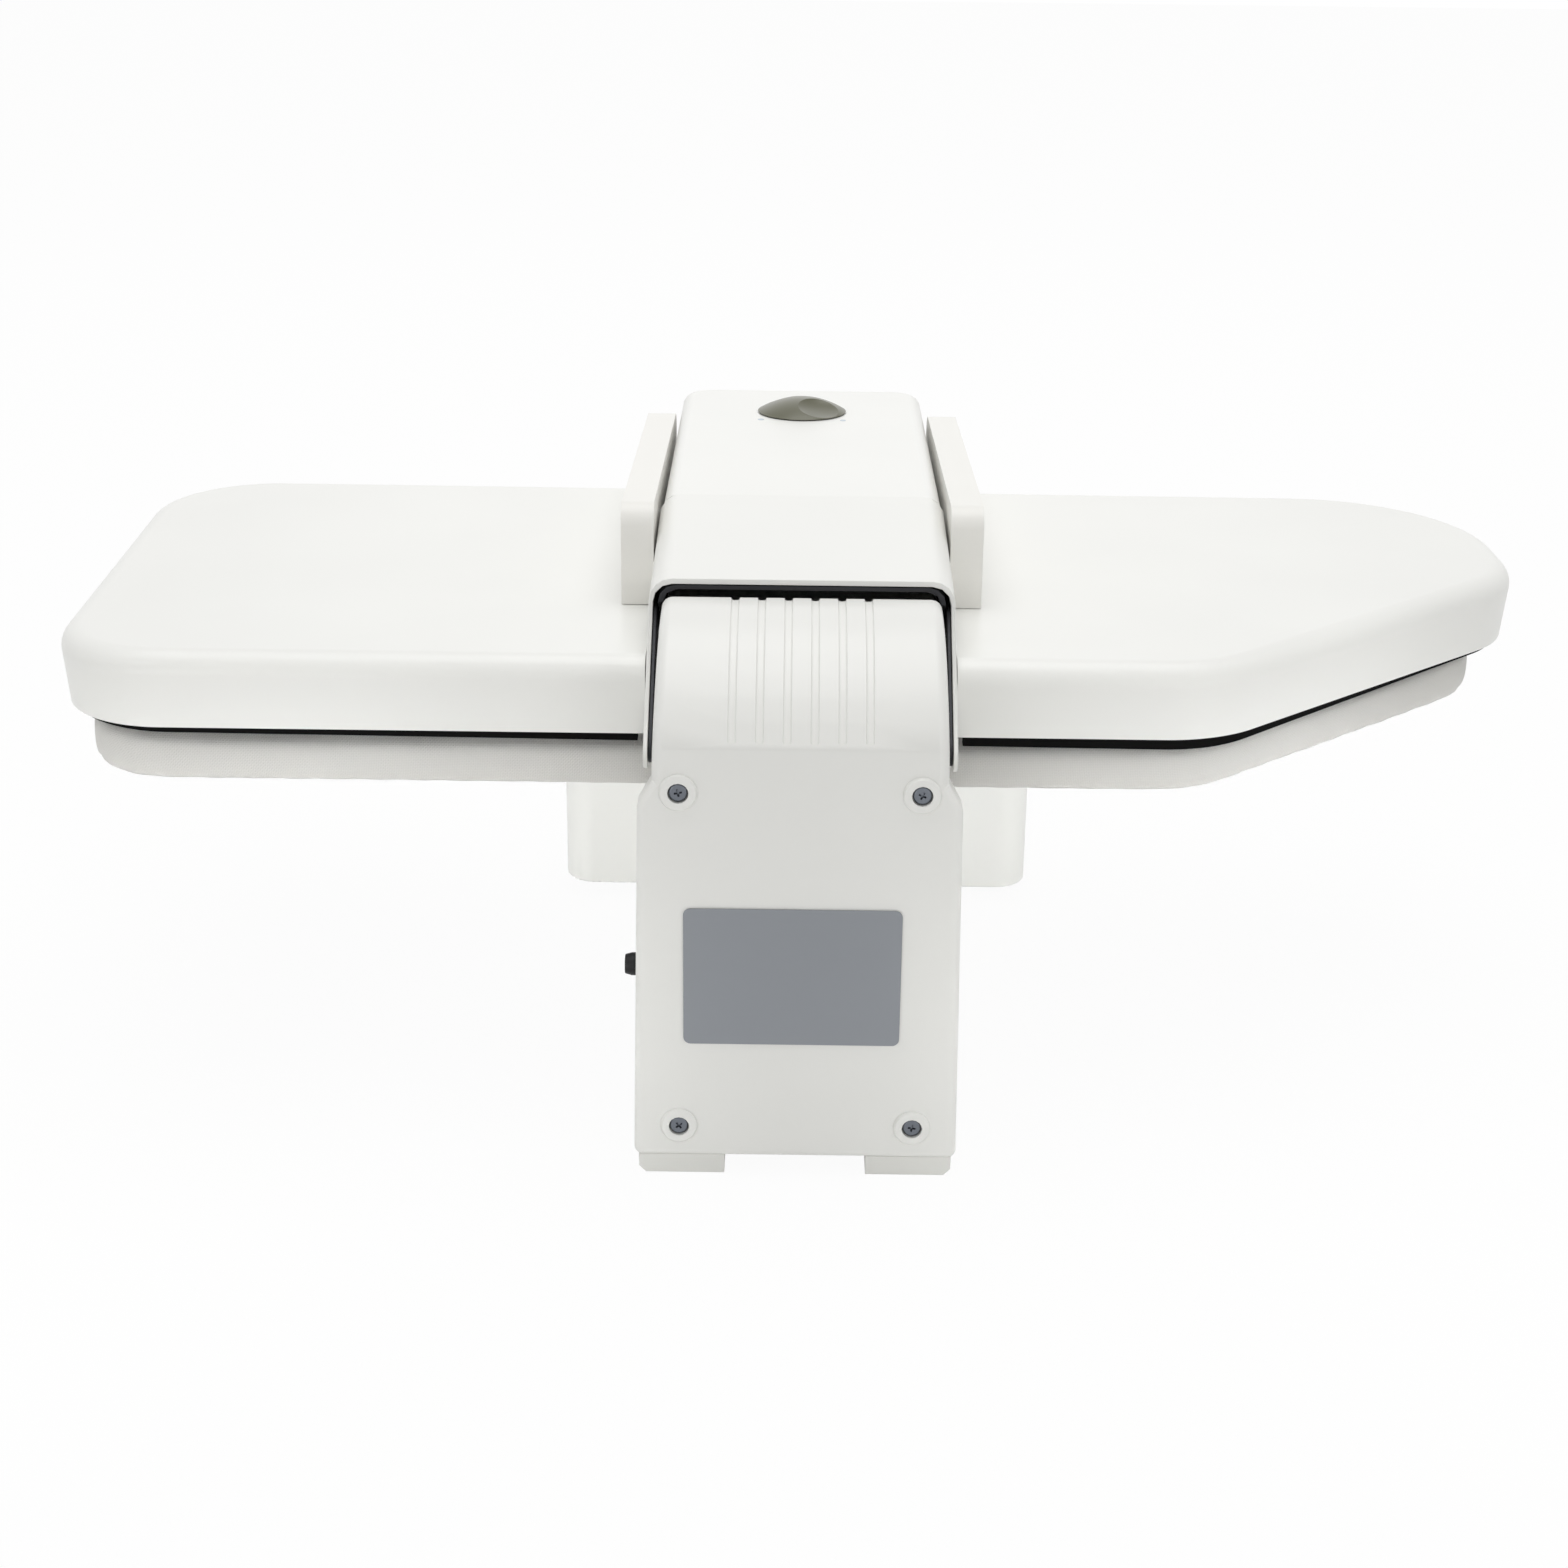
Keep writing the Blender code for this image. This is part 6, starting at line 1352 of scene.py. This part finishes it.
    def build_hem(self, finishes: "FinishCard") -> bpy.types.Object:
        """Build the casing of the draw cord along the hem.

        Args:
            finishes: The finishes of the press.

        Returns:
            The casing.
        """
        curve = bpy.data.curves.new("board_cover_hem", "CURVE")
        curve.dimensions = "3D"
        curve.bevel_depth = self.hem_radius
        curve.bevel_resolution = self.hem_steps
        spline = curve.splines.new("POLY")
        spline.points.add(len(self.plan) - 1)
        spline.use_cyclic_u = True
        height = self.low_level + self.hem_radius
        for point, spot in zip(spline.points, moved_out(self.plan, -self.hem_width)):
            point.co = (spot.x, spot.y, height, 1.0)
        made = bpy.data.objects.new("board_cover_hem", curve)
        bpy.context.scene.collection.objects.link(made)
        Bench.clear()
        made.select_set(True)
        bpy.context.view_layer.objects.active = made
        bpy.ops.object.convert(target="MESH")
        bench = Bench("board_cover_hem")
        bench.open()
        bench.outwards()
        bench.close()
        bench.smooth(self.crease_from)
        self.map_weave(bench.piece.data)
        return bench.hand_over(finishes["silver_fabric"], "silver_fabric", Body.BASE.value)

    def build(self, finishes: "FinishCard") -> None:
        """Build the cover and its hem."""
        self.build_fabric(finishes)
        self.build_hem(finishes)


@dataclass
class CoverScrews:
    """Cross-head screws of the rear cover: one is modelled, the others are copies."""

    turns: tuple[float, ...] = (12.0, 65.0, 38.0, 81.0)
    head_radius: float = 0.0040
    head_corners: int = 40
    head_height: float = 0.0024
    crown: float = 0.0010
    crown_steps: int = 6
    cross_length: float = 0.0046
    cross_width: float = 0.0011
    cross_depth: float = 0.0013
    cross_foot_shares: Point = (0.45, 0.6, 1.0)
    crease_from: float = 35.0

    def cross_bar(self, turn: float) -> Bench:
        """Make one bar of the cross, narrower towards its foot.

        Args:
            turn: Turn about the screw's axis in degrees.

        Returns:
            The bar.
        """
        bench = Bench.block("cross_bar", (0.0, 0.0, self.head_height),
                            (self.cross_length, self.cross_width, 2 * self.cross_depth))
        bench.open()
        bench.pick(Pick.FACES, lambda _, normal: normal.z < -LEVEL)
        bpy.ops.transform.resize(value=self.cross_foot_shares)
        bench.close()
        bench.piece.rotation_euler = (0.0, 0.0, math.radians(turn))
        bench.settle()
        return bench

    def pattern_screw(self) -> Bench:
        """Model a screw head that faces up at the origin.

        Returns:
            The screw.
        """
        bench = Bench.disc("screw_pattern", self.head_radius, self.head_corners,
                           self.head_height)
        bench.pick(Pick.EDGES, lambda middle, _: middle.z > self.head_height - TOUCH)
        bench.bevel(self.crown, self.crown_steps)
        bench.close()
        for turn in (0.0, 90.0):
            bench.carve(self.cross_bar(turn))
        return bench

    def build(self, finishes: "FinishCard") -> None:
        """Place a copy of the screw at each boss.

        Args:
            finishes: The finishes of the press.
        """
        pattern = self.pattern_screw().piece
        face_out = Matrix.Rotation(math.radians(-90.0), 4, "X")
        for number, turn in enumerate(self.turns, 1):
            low, high = (Vector(corner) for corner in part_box(f"cover_screw_{number}"))
            middle = (low + high) / 2
            seat = Matrix.Translation((middle.x, high.y - self.head_height, middle.z))
            spin = Matrix.Rotation(math.radians(turn), 4, "Z")
            bench = Bench.copy_of(f"finished_cover_screw_{number}", pattern.data,
                                  seat @ face_out @ spin)
            bench.smooth(self.crease_from)
            bench.hand_over(finishes["screw_zinc"], "dark_steel", Body.BASE.value,
                            [f"cover_screw_{number}"])
        bpy.data.objects.remove(pattern)


@dataclass(frozen=True)
class Scoop:
    """Finger scoop of the dial: its side of the fin, size, gap to the fin and place."""

    side: int
    radius: float
    gap: float
    shift: float
    flatten: float


@dataclass
class Dial:
    """Temperature dial: a low dome with two finger scoops that leave a slanting fin."""

    place: Point = (AXIS_X, -0.14885, 0.2539349)
    slope: float = 0.0141844
    radius: float = 0.0230
    corners: int = 96
    rings: int = 18
    height: float = 0.0070
    skirt: float = 0.0001
    fin_turn: float = 28.0
    scoops: tuple[Scoop, ...] = (Scoop(1, 0.024, 0.0018, -0.006, 0.40),
                                 Scoop(-1, 0.015, 0.0085, -0.004, 0.45))
    scoop_rings: int = 32
    edge_round: float = 0.0005
    edge_steps: int = 3
    round_from: float = 24.0
    crease_from: float = 32.0
    lift: float = 0.0006

    def seat(self, lift: float = 0.0) -> Matrix:
        """Give the place on the sloping top of the control box, at a height above it."""
        spot = Vector(self.place) + Vector((0.0, 0.0, lift))
        return Matrix.Translation(spot) @ Matrix.Rotation(self.slope, 4, "X")

    def dome(self) -> Bench:
        """Raise the dome from a disc, ring by ring.

        Returns:
            The dome.
        """
        bench = Bench.disc("dial_dome", self.radius, self.corners, self.skirt)
        bench.pick(Pick.FACES, lambda _, normal: normal.z > LEVEL)
        last_share, last_level = 1.0, 0.0
        for step in range(1, self.rings):
            share = 1.0 - step / self.rings
            level = (self.height - self.skirt) * (1.0 - share ** 2)
            bench.extrude((0.0, 0.0, level - last_level))
            narrowing = share / last_share
            bpy.ops.transform.resize(value=(narrowing, narrowing, 1.0))
            last_share, last_level = share, level
        bench.outwards()
        bench.close()
        return bench

    def scoop_tool(self, scoop: Scoop) -> Bench:
        """Make the tool of one finger scoop.

        Args:
            scoop: The scoop's measures.

        Returns:
            The tool.
        """
        turn = math.radians(self.fin_turn)
        along = Vector((math.cos(turn), math.sin(turn), 0.0))
        across = Vector((-along.y, along.x, 0.0))
        spot = across * scoop.side * (scoop.radius + scoop.gap)
        spot += along * scoop.side * scoop.shift
        spot.z = self.skirt + scoop.radius * scoop.flatten
        bpy.ops.mesh.primitive_uv_sphere_add(
            segments=2 * self.scoop_rings, ring_count=self.scoop_rings,
            radius=scoop.radius, location=spot, scale=(1.0, 1.0, scoop.flatten))
        return Bench("scoop_tool")

    def build(self, finishes: "FinishCard") -> bpy.types.Object:
        """Build the dial.

        Args:
            finishes: The finishes of the press.

        Returns:
            The dial.
        """
        bench = self.dome()
        for scoop in self.scoops:
            bench.carve(self.scoop_tool(scoop))
        bench.modify("BEVEL", width=self.edge_round, segments=self.edge_steps,
                     limit_method="ANGLE", angle_limit=math.radians(self.round_from),
                     use_clamp_overlap=True)
        bench.piece.data.transform(self.seat(self.lift))
        bench.smooth(self.crease_from)
        bench.piece.name = "finished_temperature_dial"
        return bench.hand_over(finishes["dial_grey"], "dial_grey", Body.DIAL.value,
                               ["temperature_dial"])


@dataclass
class DialMarks:
    """Raised dots round the dial: the two ends of its scale and three settings at the front."""

    ring: float = 0.0290
    height: float = 0.00018
    corners: int = 24
    marks: tuple[tuple[float, float], ...] = ((137.0, 0.0015), (247.0, 0.0009),
                                              (270.0, 0.0012), (293.0, 0.0015),
                                              (403.0, 0.0017))
    crease_from: float = 30.0

    def build(self, dial: Dial, finishes: "FinishCard") -> None:
        """Model one dot and copy it round the dial.

        Args:
            dial: The dial that they surround.
            finishes: The finishes of the press.
        """
        bench = Bench.disc("mark_pattern", 1.0, self.corners, self.height)
        bench.close()
        pattern = bench.piece
        for number, (degrees, size) in enumerate(self.marks):
            turn = math.radians(degrees)
            spot = Vector((math.cos(turn), math.sin(turn), 0.0)) * self.ring
            dot = Bench.copy_of(f"dial_mark_{number}", pattern.data,
                                dial.seat() @ Matrix.Translation(spot)
                                @ Matrix.Diagonal((size, size, 1.0, 1.0)))
            dot.smooth(self.crease_from)
            dot.hand_over(finishes["mark_grey"], "button_grey", Body.ARM.value)
        bpy.data.objects.remove(pattern)


# Studio


@dataclass(frozen=True)
class Lamp:
    """A soft box that points at a spot on the press."""

    name: str
    place: Point
    target: Point
    size: float
    power: float
    spread: float = 180.0

    def build(self) -> None:
        """Add the lamp."""
        data = bpy.data.lights.new(self.name, "AREA")
        data.shape = "DISK"
        data.size = self.size
        data.energy = self.power
        data.spread = math.radians(self.spread)
        made = bpy.data.objects.new(self.name, data)
        bpy.context.scene.collection.objects.link(made)
        made.location = self.place
        aim = Vector(self.target) - Vector(self.place)
        made.rotation_euler = aim.to_track_quat("-Z", "Y").to_euler()


@dataclass
class Studio:
    """Camera, lamps, world and floor."""

    camera_place: Point = (0.013028, 1.19745, 0.5679)
    yaw: float = 0.0007
    pitch: float = 0.3710
    roll: float = 0.0125
    focal_pixels: float = 2607.2
    image_pixels: float = 1568.0
    sensor_mm: float = 36.0
    floor_half: float = 6.0
    floor_colour: tuple[float, ...] = (0.90, 0.90, 0.89, 1.0)
    floor_roughness: float = 0.7
    floor_white: float = 0.95
    world_strength: float = 0.54
    lamps: tuple[Lamp, ...] = (
        Lamp("top_lamp", (0.0, 0.0, 2.60), (0.0, 0.0, 0.15), 2.4, 29.5),
        Lamp("low_left_lamp", (0.75, 1.50, 0.16), (0.0, 0.0, 0.08), 0.5, 1.2),
        Lamp("low_right_lamp", (-0.75, 1.50, 0.16), (0.0, 0.0, 0.08), 0.5, 1.2),
        Lamp("front_lamp", (0.0, -1.9, 1.2), (0.0, 0.0, 0.15), 1.6, 1.6),
        Lamp("left_kicker", (0.60, 0.85, 0.07), (0.10, -0.09, 0.045), 0.12, 0.10, 26.0),
        Lamp("right_kicker", (-0.58, 0.85, 0.07), (-0.09, -0.09, 0.045), 0.12, 0.10, 26.0),
    )

    def build_camera(self) -> None:
        """Place the camera where the photograph was taken."""
        flat = math.cos(self.pitch)
        ahead = Vector((math.sin(self.yaw) * flat, -math.cos(self.yaw) * flat,
                        -math.sin(self.pitch)))
        right = ahead.cross(Vector((0.0, 0.0, 1.0))).normalized()
        up = right.cross(ahead)
        turned_right = right * math.cos(self.roll) + up * math.sin(self.roll)
        turned_up = up * math.cos(self.roll) - right * math.sin(self.roll)
        turn = Matrix((turned_right, turned_up, -ahead)).transposed()
        data = bpy.data.cameras.new("photo_camera")
        data.sensor_width = self.sensor_mm
        data.sensor_fit = "HORIZONTAL"
        data.lens = self.focal_pixels / self.image_pixels * self.sensor_mm
        made = bpy.data.objects.new("photo_camera", data)
        bpy.context.scene.collection.objects.link(made)
        made.matrix_world = Matrix.Translation(Vector(self.camera_place)) @ turn.to_4x4()
        bpy.context.scene.camera = made

    @staticmethod
    def seen_white(tree: bpy.types.NodeTree, light: bpy.types.Node, white: str, share: float,
                   end: str) -> None:
        """Show white to the rays that see a surface directly, in gloss or through glass.

        Args:
            tree: Node tree of the surface.
            light: Shader node that all other rays get.
            white: Kind of shader node that makes the white.
            share: How white the surface is to those rays.
            end: Name of the tree's output node.
        """
        nodes, links = tree.nodes, tree.links
        rays = nodes.new("ShaderNodeLightPath").outputs
        mask = rays["Is Camera Ray"]
        for operation, other in (("MAXIMUM", rays["Is Glossy Ray"]),
                                 ("MAXIMUM", rays["Is Transmission Ray"]),
                                 ("MULTIPLY", share)):
            step = nodes.new("ShaderNodeMath")
            step.operation = operation
            links.new(mask, step.inputs[0])
            if operation == "MULTIPLY":
                step.inputs[1].default_value = other
            else:
                links.new(other, step.inputs[1])
            mask = step.outputs[0]
        glow = nodes.new(white)
        glow.inputs["Color"].default_value = (1.0, 1.0, 1.0, 1.0)
        mix = nodes.new("ShaderNodeMixShader")
        links.new(mask, mix.inputs["Fac"])
        links.new(light.outputs[0], mix.inputs[1])
        links.new(glow.outputs[0], mix.inputs[2])
        links.new(mix.outputs[0], nodes[end].inputs["Surface"])

    def build_world(self) -> None:
        """White to the eye, dimmer as a light."""
        world = bpy.data.worlds.new("studio_world")
        bpy.context.scene.world = world
        world.use_nodes = True
        light = world.node_tree.nodes["Background"]
        light.inputs["Color"].default_value = (1.0, 1.0, 1.0, 1.0)
        light.inputs["Strength"].default_value = self.world_strength
        self.seen_white(world.node_tree, light, "ShaderNodeBackground", 1.0, "World Output")

    def build_floor(self) -> None:
        """Pale table that keeps a soft shadow of the press."""
        bpy.ops.mesh.primitive_plane_add(size=2 * self.floor_half, location=(0.0, 0.0, 0.0))
        floor = bpy.context.object
        floor.name = "table_top"
        sheet = MaterialSheet("pale_table")
        sheet.fixed(Base_Color=self.floor_colour, Roughness=self.floor_roughness)
        self.seen_white(sheet.material.node_tree, sheet.shader, "ShaderNodeEmission",
                        self.floor_white, "Material Output")
        floor.data.materials.append(sheet.material)

    def build(self) -> None:
        """Set up the whole studio."""
        bpy.context.scene.view_settings.view_transform = "Standard"
        self.build_camera()
        self.build_world()
        self.build_floor()
        for lamp in self.lamps:
            lamp.build()
        LOG.info("studio: %d lamps", len(self.lamps))


SMOOTHED_NODES = (
    # The column's pieces take the darker white: painted shade.
    SmoothedNode("column_shell", finish="shaded_column_white"),
    SmoothedNode("rear_cover", finish="shaded_column_white"),
    SmoothedNode("heating_plate", edge_round=0.0),
    SmoothedNode("rating_plate", edge_round=0.0001),
    SmoothedNode("front_housing", edge_round=0.0005),
    *(SmoothedNode(node) for node in (
        "pedestal", "rear_foot_left", "rear_foot_right", "front_foot_left",
        "front_foot_right", "board_bracket_rear", "board_bracket_front", "board_pan",
        "arm_cover", "arm_frame", "control_box", "box_base", "steam_button",
        "power_button", "water_tank", "tank_lid", "tank_valve", "mains_switch",
        "cord_grommet", "lamp_power", "lamp_ready", "spring_crank", "hinge_plate_left",
        "hinge_plate_right",
    )),
)


def main() -> None:
    """Build the studio, the finishes and the pieces, in order."""
    logging.basicConfig(level=logging.INFO, format="%(message)s")
    bpy.ops.object.select_all(action="DESELECT")
    Studio().build()
    finishes = FinishCard()
    finishes.build()
    finishes.dress_nodes()
    hood = Hood()
    hood.build(finishes)
    RimShadeStrip().build(hood, finishes)
    Cradle().build(finishes)
    BoardCover().build(finishes)
    CoverScrews().build(finishes)
    dial = Dial()
    dial.build(finishes)
    DialMarks().build(dial, finishes)
    for piece in SMOOTHED_NODES:
        piece.build(finishes)


if __name__ == "__main__":
    main()
